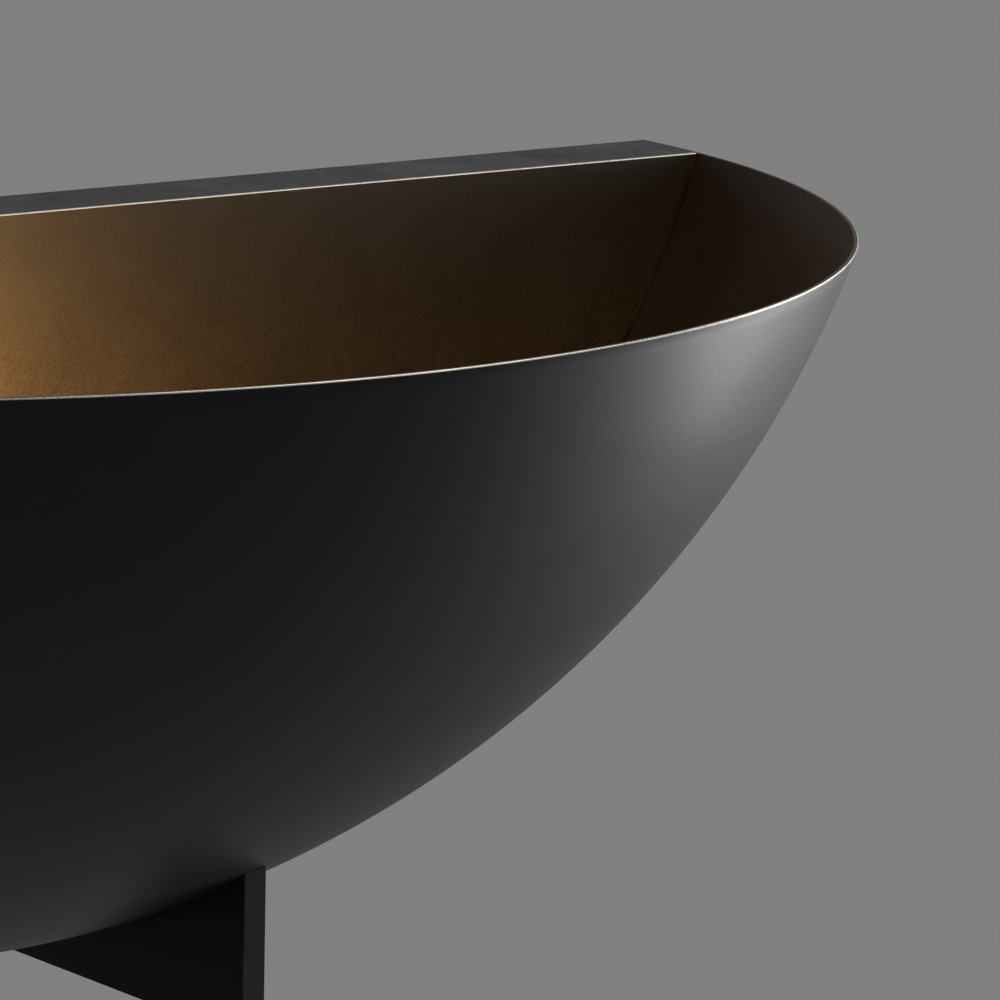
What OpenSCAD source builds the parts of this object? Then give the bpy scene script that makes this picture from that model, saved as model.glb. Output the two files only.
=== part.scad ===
// Bowl wall sconce: an open half bowl of spun sheet that lights the wall above it.
// X runs along the wall, +Z is up and the room lies towards -Y. The wall is the plane y = 0.
// The origin is the centre of the wall plate's screw pattern.

/* [Bowl] */
// Radius of the bowl's open rim
rim_radius = 250; // [235:1:280]
// Depth of the bowl from the rim to its lowest point
bowl_depth = 177; // [168:1:200]
// Height of the rim above the centre of the wall screws
rim_height = 88; // [84:1:92]
// Thickness of the spun sheet
bowl_sheet = 1.2; // [0.8:0.1:2]
// Gap between the bowl's rear edge and the wall
wall_clearance = 0.5; // [0.3:0.1:1]

/* [Back panel] */
// Distance of the panel's front face from the wall
panel_inset = 25.5; // [24:0.5:32]
// Thickness of the panel
panel_sheet = 1.2; // [0.8:0.1:2]
// Thickness of the strip that closes the top of the wiring space
strip_sheet = 1.2; // [0.8:0.1:2]

/* [Keel plates] */
// Clear width between the two plates under the bowl
keel_gap = 80; // [60:1:100]
// Thickness of each plate
keel_thickness = 6; // [4:0.5:10]
// Distance of the plates' front edges from the wall
keel_reach = 129; // [100:1:150]
// Depth of the plates' lower edges below the bowl's lowest point
keel_drop = 2.5; // [2:0.5:6]

/* [Wall plate] */
// Width of the wall plate
plate_width = 116; // [112:1:140]
// Depth of the wall plate below the centre of its screws
plate_drop = 65; // [62:1:68]
// Room between the wall plate's upper edge and the rim
plate_headroom = 23; // [23:1:26]
// Thickness of the wall plate
plate_sheet = 2; // [1.6:0.1:2.5]
// Radius of the wall plate's corners
plate_corner = 8; // [4:1:12]
// Spacing of the two slots for the screws of a wiring box
box_spacing = 88.9; // [84:0.1:92]
// Length of each slot, end to end
slot_length = 14; // [10:1:18]
// Width of each slot
slot_width = 4.6; // [4.2:0.1:5.5]
// Spacing of the four wall screws along the wall
wall_screw_span_x = 96; // [94:1:98]
// Spacing of the four wall screws in height
wall_screw_span_z = 104; // [96:1:108]
// Diameter of the holes for the wall screws
wall_screw_hole = 5.2; // [4.5:0.1:6]
// Diameter of the hole for the supply cable
cable_hole = 25; // [20:1:30]

/* [Hooks and hanger bar] */
// Distance between the centres of the two hooks
hook_spacing = 60; // [46:1:70]
// Width of each hook
hook_width = 22; // [16:1:26]
// Gap in the hook for the hanger bar's lip
hook_gap = 5; // [4.5:0.1:6]
// Height of the hook's upright tab
hook_height = 14; // [10:1:15]
// Length of the hanger bar
bar_length = 130; // [124:1:150]
// Thickness of the hanger bar
bar_sheet = 2; // [1.6:0.1:2.5]
// Height of the hanger bar's leg on the panel
bar_leg = 24; // [20:1:28]
// Distance of the outer studs from the middle of the hanger bar
stud_offset = 48; // [40:1:54]
// Inside radius of the bends in the plate and the bar
bend_radius = 1.2; // [1:0.1:1.5]

/* [Lock screw] */
// Distance of the lock screw from the wall
lock_screw_inset = 11; // [10:0.5:13]
// Diameter of the lock screw
lock_screw_size = 4; // [3:0.5:5]
// Width of the lug that takes the lock screw
lug_width = 18; // [14:1:24]
// Reach of the lug from the wall
lug_reach = 18; // [17:0.5:20]

/* [Lampholder] */
// Depth of the lamp's axis below the rim
lamp_drop = 64; // [58:1:68]
// Clear height of the bracket over the panel
bracket_standoff = 10; // [9:0.5:12]
// Thickness of the bracket
bracket_sheet = 1.5; // [1.2:0.1:2]
// Width of the bracket
bracket_width = 22; // [18:1:24]
// Distance of the bracket's screws from the lamp's axis
bracket_screw_offset = 37; // [36:1:42]
// Length of the ceramic body
holder_length = 44; // [42:1:50]
// Radius of the ceramic body's base
holder_base_radius = 23; // [22:0.5:26]
// Radius of the ceramic body's barrel
holder_barrel_radius = 20; // [18:0.5:22]
// Thickness of the ceramic behind the socket
holder_floor = 12; // [11:0.5:14]
// Radius of the socket in the ceramic body
socket_radius = 14.2; // [14:0.1:15]

/* [Bulb] */
// Length of the bulb from its contact to its crown
bulb_length = 108; // [104:1:112]
// Radius of the bulb's head
bulb_radius = 30; // [25:1:32]
// Radius of the bulb's screw cap
cap_radius = 13.1; // [12.6:0.1:13.2]
// Length of the bulb's screw cap
cap_length = 23; // [20:1:24]

/* [Wiring] */
// Radius of a lead with its sleeve
lead_radius = 1.2; // [0.9:0.1:1.4]
// Depth of the cable grommet below the lamp's axis
grommet_drop = 26; // [24:1:30]
// Radius of the grommet's bore
grommet_bore = 3.6; // [3:0.1:4.5]
// Distance of the wire connectors below the grommet
connector_drop = 22; // [20:1:26]
// Length of a wire connector
connector_length = 23; // [18:1:26]
// Distance of the live and neutral connectors from the middle
connector_offset = 20; // [16:1:26]

/* [Hidden] */
$fn = 96;

// Gap left between pieces that move apart from each other
moving_gap = 0.3;
// Gap round a screw in its clearance hole
screw_gap = 0.2;
// Gap round a screw or a lead in the piece that holds it
hold_gap = 0.1;
// Radial gap between the lock screw and the threads of its lug
thread_gap = 0.06;
// Overshoot of a cutting solid past the face that it cuts
cut = 1;
// Fillet of the edges of moulded pieces
moulded_edge = 0.8;
// Length of thread that stands out of a nut, and depth left free under a screw in a blind hole
thread_end = 1;

// The bowl is the lower part of a sphere
sphere_radius = (pow(rim_radius, 2) + pow(bowl_depth, 2)) / (2 * bowl_depth);
sphere_z = rim_height - bowl_depth + sphere_radius;
inner_radius = sphere_radius - bowl_sheet;
bowl_bottom = rim_height - bowl_depth;
panel_back = panel_inset - panel_sheet;

// Hooks of the wall plate and the bar behind the panel that hangs on them
plate_top = rim_height - plate_headroom;
hook_reach = plate_sheet + hook_gap + plate_sheet;
bar_lip_y = plate_sheet + (hook_gap - bar_sheet) / 2;
bar_foot = plate_top + moving_gap;
bar_top = rim_height - strip_sheet - 2 * moving_gap;
stud_z = bar_top - bar_leg / 2;
// Studs, nuts and the heads of the small screws
stud_radius = 2;
stud_length = 8;
nut_height = 3.2;
nut_radius = 4.04;
small_head_height = 2.4;
stud_places = [[-stud_offset, stud_z], [0, stud_z], [stud_offset, stud_z]];

// Lug of the wall plate and the lock screw, whose head stands under the bowl
lug_top = -plate_drop + plate_sheet;
lock_screw_tip = lug_top + 5 * thread_end;
lock_head_radius = lock_screw_size;
lock_head_height = 2.2;
lock_head_top = bowl_underside(lock_screw_inset - lock_head_radius) - moving_gap;

// Bracket and holder on the lamp's axis
lamp_z = rim_height - lamp_drop;
web_face = bracket_standoff + bracket_sheet;
bracket_foot = 17;
bracket_foot_end = bracket_screw_offset + 8;
bracket_riser = bracket_foot_end - bracket_foot;
bracket_screw_radius = 2;
holder_screw_offset = 12;
holder_screw_radius = 1.5;
holder_screw_depth = 7;
holder_head_height = 2;

// Ceramic body: the cone above its base, the lip at its mouth and the flare of the socket
holder_cone = 5;
lip_height = 5;
lip_cone = 2;
lip_width = 1.5;
socket_flare = 4;

// Metal parts in the socket
shell_sheet = 0.5;
shell_setback = 5;
contact_sheet = 0.6;
contact_rise = 2.6;
contact_width = 6;
contact_foot = [-11, -6];
contact_leaf = [-1, 4.5];
bulb_seat = web_face + holder_floor + contact_rise + moving_gap;

// Terminals: places across the lamp's axis, and sizes
terminal_offset = 8;
terminal_width = 6;
terminal_height = 8;
terminal_length = 8;
terminal_top = -12;
terminal_screw_radius = 1.4;
terminal_bore_depth = 5;
terminal_screw_inset = 3;
terminal_head_radius = 2.52;
terminal_head_height = 1.6;
terminal_y = terminal_top - terminal_height / 2;

// Grommet, connectors and the earth parts behind the panel
grommet_z = lamp_z - grommet_drop;
grommet_wall = 2.4;
grommet_neck = grommet_bore + grommet_wall;
grommet_flange = grommet_neck + 2.5;
grommet_lip = 1.5;
grommet_bevel = [1, 0.6];
connector_mouth = grommet_z - connector_drop;
connector_radius = 6;
connector_bore_depth = 9;
lead_spacing = 1.5;
connector_mouth_gap = [1, 3];
connector_skirt = 0.35 * connector_length;
connector_crown = 0.6 * connector_radius;
wing_reach = 1.2;
wing_thickness = 1.6;
connector_y = (plate_sheet + panel_back) / 2;
earth_connector_x = -2.2 * connector_offset;
earth_stud_x = earth_connector_x - 14;
earth_stud_z = grommet_z + 8;
earth_screw_x = 22;
earth_screw_z = -34;
earth_screw_radius = 2;
ring_sheet = 0.8;
ring_radius = 4.6;
ring_barrel_length = 6;
ring_barrel_wall = 0.9;
ring_neck = 3;
ring_barrel_drop = ring_radius + 1;
ring_lead_y = panel_back - lead_radius - 0.4;

// Bulb, from the tip of its contact to the end of its glass neck
contact_height = 1.2;
bulb_contact_radius = 4.6;
insulator_height = 3.6;
insulator_foot = 5.6;
insulator_radius = 10.4;
insulator_overlap = 1;
cap_start = contact_height + insulator_height - insulator_overlap;
cap_sheet = 0.5;
cap_cone = 3;
cap_end = cap_start + cap_length;
glass_sheet = 0.8;
neck_radius = cap_radius - cap_sheet;
neck_blend = 45;
neck_hold = 8;
head_centre = bulb_length - bulb_radius;

// Low domed head: shares of its height and radius that are upright and flat
head_upright = 0.3;
head_flat = 0.7;
head_slot_floor = 0.6;
head_slot_width = 0.25;

// Height of the bowl's underside at a distance from the wall, in the middle plane
function bowl_underside(distance) = sphere_z - sqrt(pow(sphere_radius, 2) - pow(distance, 2));

// Unit vector along v
function unit(v) = v / norm(v);

// Points of the arc that rounds the corner b of the path a, b, c
function corner_arc(a, b, c, radius, steps = 6) =
    let (u = unit(a - b), v = unit(c - b))
    let (half = acos(u * v) / 2)
    let (mid = b + unit(u + v) * radius / sin(half))
    let (start = b + u * radius / tan(half))
    let (from = atan2(start.y - mid.y, start.x - mid.x))
    let (turn = (cross(b - a, c - b) > 0 ? 1 : -1) * (180 - 2 * half))
    [for (i = [0:steps]) mid + radius * [cos(from + turn * i / steps), sin(from + turn * i / steps)]];

// The path with each inner corner rounded
function rounded_path(path, radius) = concat([path[0]],
    [for (i = [1:len(path) - 2]) each corner_arc(path[i - 1], path[i], path[i + 1], radius)],
    [path[len(path) - 1]]);

// Direction of a path at one of its points
function heading(path, i) =
    i == 0 ? unit(path[1] - path[0]) :
    i == len(path) - 1 ? unit(path[i] - path[i - 1]) :
    unit(unit(path[i] - path[i - 1]) + unit(path[i + 1] - path[i]));

// The path moved sideways by a distance
function side_path(path, distance) = [for (i = [0:len(path) - 1])
    let (along = heading(path, i))
    let (spread = i == 0 ? 1 : unit(path[i] - path[i - 1]) * along)
    path[i] + distance / spread * [-along.y, along.x]];

// The list in reverse order
function reversed(list) = [for (i = [len(list) - 1:-1:0]) list[i]];

// Outline of a bent sheet whose middle line follows the path
module bent_sheet(path, sheet) {
    middle = rounded_path(path, bend_radius + sheet / 2);
    polygon(concat(side_path(middle, sheet / 2), reversed(side_path(middle, -sheet / 2))));
}

// Extrudes an outline drawn in Y and Z along X, about the middle
module along_x(length) {
    rotate([90, 0, 90]) linear_extrude(length, center = true) children();
}

// Stands the children on a plane parallel to the wall, their own Z towards the room
module facing_room(distance = 0) {
    translate([0, -distance, 0]) rotate([90, 0, 0]) children();
}

// The same on the lamp's axis, at a distance from the panel's front face
module on_lamp_axis(distance = 0) {
    translate([0, -panel_inset - distance, lamp_z]) rotate([90, 0, 0]) children();
}

// Outline of a rectangle with round corners
module rounded_rectangle(low, high, radius) {
    translate(low + [radius, 0]) square([high.x - low.x - 2 * radius, high.y - low.y]);
    translate(low + [0, radius]) square([high.x - low.x, high.y - low.y - 2 * radius]);
    for (x = [low.x + radius, high.x - radius], y = [low.y + radius, high.y - radius])
        translate([x, y]) circle(radius);
}

// Outline of a slot along X
module slot(length, width) {
    square([length - width, width], center = true);
    for (side = [-1, 1])
        translate([side * (length - width) / 2, 0]) circle(width / 2);
}

// Screw with a low domed head: the head lies above z = 0 and the shank below
module dome_head_screw(radius, length, head_radius, head_height) {
    translate([0, 0, -length]) cylinder(r = radius, h = length + head_height / 2);
    difference() {
        rotate_extrude() polygon(concat([[0, 0], [head_radius, 0]],
            [for (a = [0:15:90]) [head_radius * (head_flat + (1 - head_flat) * cos(a)),
                head_height * (head_upright + (1 - head_upright) * sin(a))]],
            [[0, head_height]]));
        translate([-head_radius - cut, -head_slot_width * head_radius / 2, head_slot_floor * head_height])
            cube([2 * (head_radius + cut), head_slot_width * head_radius, head_height]);
    }
}

// Hexagonal nut that stands on z = 0
module hex_nut(bore) {
    difference() {
        cylinder(r = nut_radius, h = nut_height, $fn = 6);
        translate([0, 0, -cut]) cylinder(r = bore, h = nut_height + 2 * cut);
    }
}

// Round tube along a list of points: 8 sides, a ring at each point
module swept_tube(points, radius) {
    sides = 8;
    last = len(points) - 1;
    rings = [for (i = [0:last])
        let (along = heading(points, i))
        let (side = unit(cross(along, [1, 0, 0])))
        let (up = cross(along, side))
        [for (k = [0:sides - 1]) let (a = 360 * k / sides)
            points[i] + radius * (cos(a) * side + sin(a) * up)]];
    walls = [for (i = [0:last - 1], k = [0:sides - 1])
        let (a = i * sides + k, b = i * sides + (k + 1) % sides)
        each [[a, b, a + sides], [b, b + sides, a + sides]]];
    caps = [for (k = [1:sides - 2])
        each [[0, k + 1, k], [last * sides, last * sides + k, last * sides + k + 1]]];
    polyhedron([for (ring = rings) each ring], concat(walls, caps));
}

// Smooth curve through the points, for the leads
function spline_at(p, i, t) =
    let (a = p[max(i - 1, 0)], b = p[i], c = p[i + 1], d = p[min(i + 2, len(p) - 1)])
    0.5 * (2 * b + (c - a) * t + (2 * a - 5 * b + 4 * c - d) * t * t + (3 * b - a - 3 * c + d) * t * t * t);
function spline(p, steps) = concat(
    [for (i = [0:len(p) - 2], k = [0:steps - 1]) spline_at(p, i, k / steps)], [p[len(p) - 1]]);

// Pierced and bent plate that is screwed to the wall and carries the sconce on two hooks
module wall_plate() color("lightsteelblue") {
    facing_room() linear_extrude(plate_sheet) difference() {
        rounded_rectangle([-plate_width / 2, -plate_drop], [plate_width / 2, plate_top], plate_corner);
        for (side = [-1, 1]) {
            translate([side * box_spacing / 2, 0]) slot(slot_length, slot_width);
            for (level = [-1, 1])
                translate([side * wall_screw_span_x / 2, level * wall_screw_span_z / 2])
                    circle(d = wall_screw_hole);
        }
        circle(d = cable_hole);
        translate([earth_screw_x, earth_screw_z]) circle(earth_screw_radius + hold_gap);
    }
    middle = plate_sheet / 2;
    for (side = [-1, 1])
        translate([side * hook_spacing / 2, 0, 0]) along_x(hook_width)
            bent_sheet([[-middle, plate_top - hook_height], [-middle, plate_top - middle],
                [-hook_reach + middle, plate_top - middle],
                [-hook_reach + middle, plate_top - plate_sheet + hook_height]], plate_sheet);
    difference() {
        along_x(lug_width) bent_sheet([[-middle, lug_top + hook_height], [-middle, lug_top - middle],
            [-lug_reach, lug_top - middle]], plate_sheet);
        translate([0, -lock_screw_inset, lug_top - plate_sheet - cut])
            cylinder(r = lock_screw_size / 2 + thread_gap, h = plate_sheet + 2 * cut);
    }
}

// Green screw for the house's earth wire
module plate_earth_screw() color("seagreen") {
    translate([earth_screw_x, 0, earth_screw_z]) facing_room(plate_sheet)
        dome_head_screw(earth_screw_radius, plate_sheet, 2 * earth_screw_radius, small_head_height);
}

// Spun bowl, cut off at the wall, with the hole for the lock screw
module bowl_shell() color([0.1, 0.1, 0.1]) difference() {
    intersection() {
        translate([0, 0, sphere_z]) sphere(sphere_radius);
        translate([-2 * rim_radius, -2 * rim_radius, bowl_bottom - cut])
            cube([4 * rim_radius, 2 * rim_radius - wall_clearance, bowl_depth + cut]);
    }
    translate([0, 0, sphere_z]) sphere(inner_radius);
    translate([0, -lock_screw_inset, bowl_bottom - cut])
        cylinder(r = lock_screw_size / 2 + moving_gap,
            h = bowl_underside(2 * lock_screw_inset) - bowl_bottom + bowl_sheet + 2 * cut);
}

// Flat panel that closes the bowl in front of the wiring space
module back_panel() color([0.3, 0.22, 0.15]) difference() {
    intersection() {
        translate([-rim_radius, -panel_inset, bowl_bottom])
            cube([2 * rim_radius, panel_sheet, bowl_depth]);
        translate([0, 0, sphere_z]) sphere(inner_radius);
    }
    facing_room(panel_back - cut) {
        translate([0, grommet_z, 0]) cylinder(r = grommet_neck, h = panel_sheet + 2 * cut);
        for (side = [-1, 1])
            translate([side * bracket_screw_offset, lamp_z, 0])
                cylinder(r = bracket_screw_radius + screw_gap, h = panel_sheet + 2 * cut);
    }
}

// Strip from the panel's upper edge to the wall, over the wiring space
module top_strip() color([0.25, 0.25, 0.25]) intersection() {
    translate([-rim_radius, -panel_back, rim_height - strip_sheet])
        cube([2 * rim_radius, panel_back - wall_clearance, strip_sheet]);
    translate([0, 0, sphere_z]) sphere(inner_radius);
}

// Upright plate under the bowl, its upper edge cut to the sphere
module keel_plate(side) {
    far_x = keel_gap / 2 + keel_thickness;
    lowest = bowl_bottom - keel_drop;
    contact_top = sphere_z - sqrt(pow(sphere_radius, 2) - pow(far_x, 2) - pow(keel_reach, 2));
    difference() {
        translate([side * (far_x - keel_thickness / 2) - keel_thickness / 2, -keel_reach, lowest])
            cube([keel_thickness, keel_reach - wall_clearance, contact_top + cut - lowest]);
        translate([0, 0, sphere_z]) sphere(sphere_radius);
    }
}

module keel_plate_left() color([0.08, 0.08, 0.08]) keel_plate(-1);

module keel_plate_right() color([0.08, 0.08, 0.08]) keel_plate(1);

// Bent bar behind the panel whose lip drops into the two hooks
module hanger_bar() color("lightsteelblue") difference() {
    along_x(bar_length) bent_sheet([[-panel_back + bar_sheet / 2, bar_top - bar_leg],
        [-panel_back + bar_sheet / 2, bar_top - bar_sheet / 2],
        [-bar_lip_y - bar_sheet / 2, bar_top - bar_sheet / 2],
        [-bar_lip_y - bar_sheet / 2, bar_foot]], bar_sheet);
    for (place = stud_places)
        translate([place.x, 0, place.y]) facing_room(panel_back - bar_sheet - cut)
            cylinder(r = stud_radius + screw_gap, h = bar_sheet + 2 * cut);
}

// Studs welded to the back of the panel: three for the hanger bar, one for the earth lead
module panel_studs() color("silver")
    for (place = concat(stud_places, [[earth_stud_x, earth_stud_z]]))
        translate([place.x, 0, place.y]) facing_room(panel_back - stud_length)
            cylinder(r = stud_radius, h = stud_length);

// Nuts on the four studs
module stud_nuts() color("silver") {
    for (place = stud_places)
        translate([place.x, 0, place.y]) facing_room(panel_back - bar_sheet - nut_height)
            hex_nut(stud_radius + hold_gap);
    translate([earth_stud_x, 0, earth_stud_z]) facing_room(panel_back - ring_sheet - nut_height)
        hex_nut(stud_radius + hold_gap);
}

// Screw from below that ties the bowl to the wall plate's lug
module lock_screw() color([0.15, 0.15, 0.15])
    translate([0, -lock_screw_inset, lock_head_top]) rotate([180, 0, 0])
        dome_head_screw(lock_screw_size / 2, lock_screw_tip - lock_head_top, lock_head_radius,
            lock_head_height);

// Raised strap that carries the lampholder on the panel
module holder_bracket() color("silver") difference() {
    on_lamp_axis() rotate([90, 0, 0]) linear_extrude(bracket_width, center = true)
        bent_sheet([[-bracket_foot_end, bracket_sheet / 2], [-bracket_riser, bracket_sheet / 2],
            [-bracket_riser, web_face - bracket_sheet / 2], [bracket_riser, web_face - bracket_sheet / 2],
            [bracket_riser, bracket_sheet / 2], [bracket_foot_end, bracket_sheet / 2]], bracket_sheet);
    on_lamp_axis(-cut) for (side = [-1, 1]) {
        translate([side * bracket_screw_offset, 0, 0])
            cylinder(r = bracket_screw_radius + screw_gap, h = bracket_sheet + 2 * cut);
        translate([side * holder_screw_offset, 0, bracket_standoff])
            cylinder(r = holder_screw_radius + screw_gap, h = bracket_sheet + 2 * cut);
    }
}

// Screws through the bracket's feet and the panel
module bracket_screws() color("silver") on_lamp_axis(bracket_sheet)
    for (side = [-1, 1])
        translate([side * bracket_screw_offset, 0, 0])
            dome_head_screw(bracket_screw_radius, bracket_sheet + panel_sheet + nut_height + thread_end,
                2 * bracket_screw_radius, small_head_height);

// Nuts of the bracket's screws, behind the panel
module bracket_nuts() color("silver") on_lamp_axis(-panel_sheet - nut_height)
    for (side = [-1, 1])
        translate([side * bracket_screw_offset, 0, 0]) hex_nut(bracket_screw_radius + hold_gap);

// Ceramic body of the lampholder
module lampholder_body() color("ivory") on_lamp_axis(web_face) difference() {
    rotate_extrude() polygon(concat([[0, 0]],
        rounded_path([[0, 0], [holder_base_radius, 0], [holder_base_radius, holder_floor],
            [holder_barrel_radius, holder_floor + holder_cone],
            [holder_barrel_radius, holder_length - lip_height - lip_cone],
            [holder_barrel_radius + lip_width, holder_length - lip_height],
            [holder_barrel_radius + lip_width, holder_length],
            [socket_radius + lip_width, holder_length],
            [socket_radius, holder_length - socket_flare]], moulded_edge),
        [[socket_radius, holder_floor], [0, holder_floor]]));
    for (side = [-1, 1]) {
        translate([side * holder_screw_offset, 0, -cut])
            cylinder(r = holder_screw_radius + hold_gap, h = holder_screw_depth + cut);
        translate([side * terminal_offset - terminal_width / 2 - hold_gap, -holder_base_radius - cut, -cut])
            cube([terminal_width + 2 * hold_gap, holder_base_radius + terminal_top + cut,
                terminal_length + cut]);
    }
}

// Two screws from behind that hold the ceramic body on the bracket
module holder_screws() color("silver") on_lamp_axis(bracket_standoff)
    for (side = [-1, 1])
        translate([side * holder_screw_offset, 0, 0]) rotate([180, 0, 0])
            dome_head_screw(holder_screw_radius, bracket_sheet + holder_screw_depth - thread_end,
                2 * holder_screw_radius, holder_head_height);

// Screw shell that takes the bulb's cap
module screw_shell() color("goldenrod") on_lamp_axis(web_face + holder_floor) difference() {
    cylinder(r = socket_radius - hold_gap, h = holder_length - holder_floor - shell_setback);
    translate([0, 0, -cut])
        cylinder(r = socket_radius - hold_gap - shell_sheet, h = holder_length);
}

// Sprung leaf on the socket's floor that touches the bulb's contact
module centre_contact() color("goldenrod")
    on_lamp_axis(web_face + holder_floor) rotate([90, 0, 0]) linear_extrude(contact_width, center = true)
        bent_sheet(concat([for (x = contact_foot) [x, contact_sheet / 2]],
            [for (x = contact_leaf) [x, contact_rise - contact_sheet / 2]]), contact_sheet);

// Brass blocks in the ceramic body that clamp the leads
module terminals() color("gold") on_lamp_axis(web_face)
    for (side = [-1, 1])
        translate([side * terminal_offset, terminal_y, 0]) difference() {
            translate([-terminal_width / 2, -terminal_height / 2, 0])
                cube([terminal_width, terminal_height, terminal_length]);
            translate([0, 0, -cut]) cylinder(r = lead_radius + hold_gap, h = terminal_bore_depth + cut);
            translate([0, -terminal_height / 2 - cut, terminal_length - terminal_screw_inset])
                rotate([-90, 0, 0])
                cylinder(r = terminal_screw_radius + hold_gap, h = terminal_height / 2 + cut);
        }

// Clamping screws of the terminals, reached from below
module terminal_screws() color("gold") on_lamp_axis(web_face)
    for (side = [-1, 1])
        translate([side * terminal_offset, terminal_y - terminal_height / 2,
            terminal_length - terminal_screw_inset]) rotate([90, 0, 0])
                dome_head_screw(terminal_screw_radius, terminal_height / 2 - lead_radius - 2 * hold_gap,
                    terminal_head_radius, terminal_head_height);

// Rubber bush in the panel for the two leads
module grommet() color([0.12, 0.12, 0.12])
    translate([0, 0, grommet_z]) facing_room(panel_back)
        rotate_extrude() polygon([[grommet_bore, -grommet_lip],
            [grommet_flange - grommet_bevel.x, -grommet_lip],
            [grommet_flange, -grommet_lip + grommet_bevel.y], [grommet_flange, 0], [grommet_neck, 0],
            [grommet_neck, panel_sheet], [grommet_flange, panel_sheet],
            [grommet_flange, panel_sheet + grommet_lip - grommet_bevel.y],
            [grommet_flange - grommet_bevel.x, panel_sheet + grommet_lip],
            [grommet_bore, panel_sheet + grommet_lip]]);

// Route of a lead from its terminal, through the grommet, to its connector
function lead_route(side) =
    let (x = side * terminal_offset, z = lamp_z + terminal_y, bore = side * lead_spacing)
    let (start = panel_inset + web_face, end = side * connector_offset)
    [[x, -start - terminal_bore_depth, z], [x, -start - 0.5, z], [x, -start + 1, z],
        [x, -start + 4, z - 1.2], [0.55 * x, -panel_inset - 5, (z + grommet_z) / 2 - 2],
        [bore, -panel_inset - 1, grommet_z], [bore, -panel_back + 1, grommet_z],
        [bore + side * 2.5, -panel_back + 5, grommet_z - 1.6],
        [0.55 * end, -connector_y - 1.5, grommet_z - 8], [0.96 * end, -connector_y, connector_mouth + 6],
        [end, -connector_y, connector_mouth + 3], [end, -connector_y, connector_mouth - 1],
        [end, -connector_y, connector_mouth - connector_bore_depth]];

module live_lead() color([0.15, 0.15, 0.15]) swept_tube(spline(lead_route(-1), 3), lead_radius);

module neutral_lead() color("white") swept_tube(spline(lead_route(1), 3), lead_radius);

// Earth lead from its ring on the panel's stud to its connector
module earth_lead() color("green") {
    barrel_end = earth_stud_z - ring_barrel_drop - ring_barrel_length;
    x = earth_stud_x;
    swept_tube(spline([[x, -ring_lead_y, barrel_end + ring_barrel_length - 1], [x, -ring_lead_y, barrel_end],
        [x, -ring_lead_y + 0.2, barrel_end - 2], [x + 4, -connector_y - 2, connector_mouth + 9],
        [earth_connector_x - 1.5, -connector_y, connector_mouth + 7],
        [earth_connector_x, -connector_y, connector_mouth + 3],
        [earth_connector_x, -connector_y, connector_mouth - 1],
        [earth_connector_x, -connector_y, connector_mouth - connector_bore_depth]], 4), lead_radius);
}

// Ring and crimped barrel at the end of the earth lead
module earth_ring() color("silver") translate([earth_stud_x, 0, earth_stud_z]) {
    facing_room(panel_back - ring_sheet) linear_extrude(ring_sheet) difference() {
        union() {
            circle(ring_radius);
            translate([-ring_neck / 2, -ring_barrel_drop - cut]) square([ring_neck, ring_barrel_drop]);
        }
        circle(stud_radius + hold_gap);
    }
    translate([0, -ring_lead_y, -ring_barrel_drop - ring_barrel_length]) difference() {
        intersection() {
            cylinder(r = lead_radius + ring_barrel_wall, h = ring_barrel_length);
            translate([-ring_radius, -panel_back + ring_lead_y, 0])
                cube([2 * ring_radius, ring_radius, ring_barrel_length]);
        }
        translate([0, 0, -cut]) cylinder(r = lead_radius + hold_gap, h = ring_barrel_length + 2 * cut);
    }
}

// Twist-on connectors for the live, neutral and earth leads
module wire_connectors() color("orange")
    for (x = [-connector_offset, connector_offset, earth_connector_x])
        translate([x, -connector_y, connector_mouth]) rotate([180, 0, 0]) difference() {
            union() {
                rotate_extrude() polygon(rounded_path([[0, 0], [connector_radius, 0],
                    [connector_radius, connector_skirt], [connector_crown, connector_length],
                    [0, connector_length]], moulded_edge));
                for (wing = [0, 180])
                    rotate([0, 0, wing]) translate([connector_radius - cut, -wing_thickness / 2, cut])
                        cube([wing_reach + cut, wing_thickness, connector_skirt]);
            }
            translate([0, 0, -cut])
                cylinder(r = lead_radius + connector_mouth_gap.x, h = connector_mouth_gap.y + cut);
            cylinder(r = lead_radius + hold_gap, h = connector_bore_depth);
        }

// The bulb's parts stand on its own axis, with z = 0 at the tip of its contact
module on_bulb_axis(distance = 0) {
    on_lamp_axis(bulb_seat + distance) children();
}

// Soldered contact, domed by two steps
module bulb_contact() color("lightgray") on_bulb_axis() rotate_extrude()
    polygon([[0, 0], [0.55 * bulb_contact_radius, 0], [0.9 * bulb_contact_radius, 0.4 * contact_height],
        [bulb_contact_radius, contact_height], [0, contact_height]]);

// Glass insulator between the contact and the cap
module bulb_insulator() color([0.05, 0.05, 0.05]) on_bulb_axis(contact_height) rotate_extrude()
    polygon([[0, 0], [insulator_foot, 0], [insulator_radius, insulator_height - insulator_overlap],
        [insulator_radius, insulator_height], [0, insulator_height]]);

// Cap of thin sheet: a cone at the insulator and a straight screw part
module bulb_cap() color("silver") on_bulb_axis(cap_start) rotate_extrude()
    polygon([[insulator_radius, 0], [insulator_radius + cap_sheet, 0], [cap_radius, cap_cone],
        [cap_radius, cap_length], [neck_radius, cap_length], [neck_radius, cap_cone + cap_sheet / 2],
        [insulator_radius, cap_sheet]]);

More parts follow.
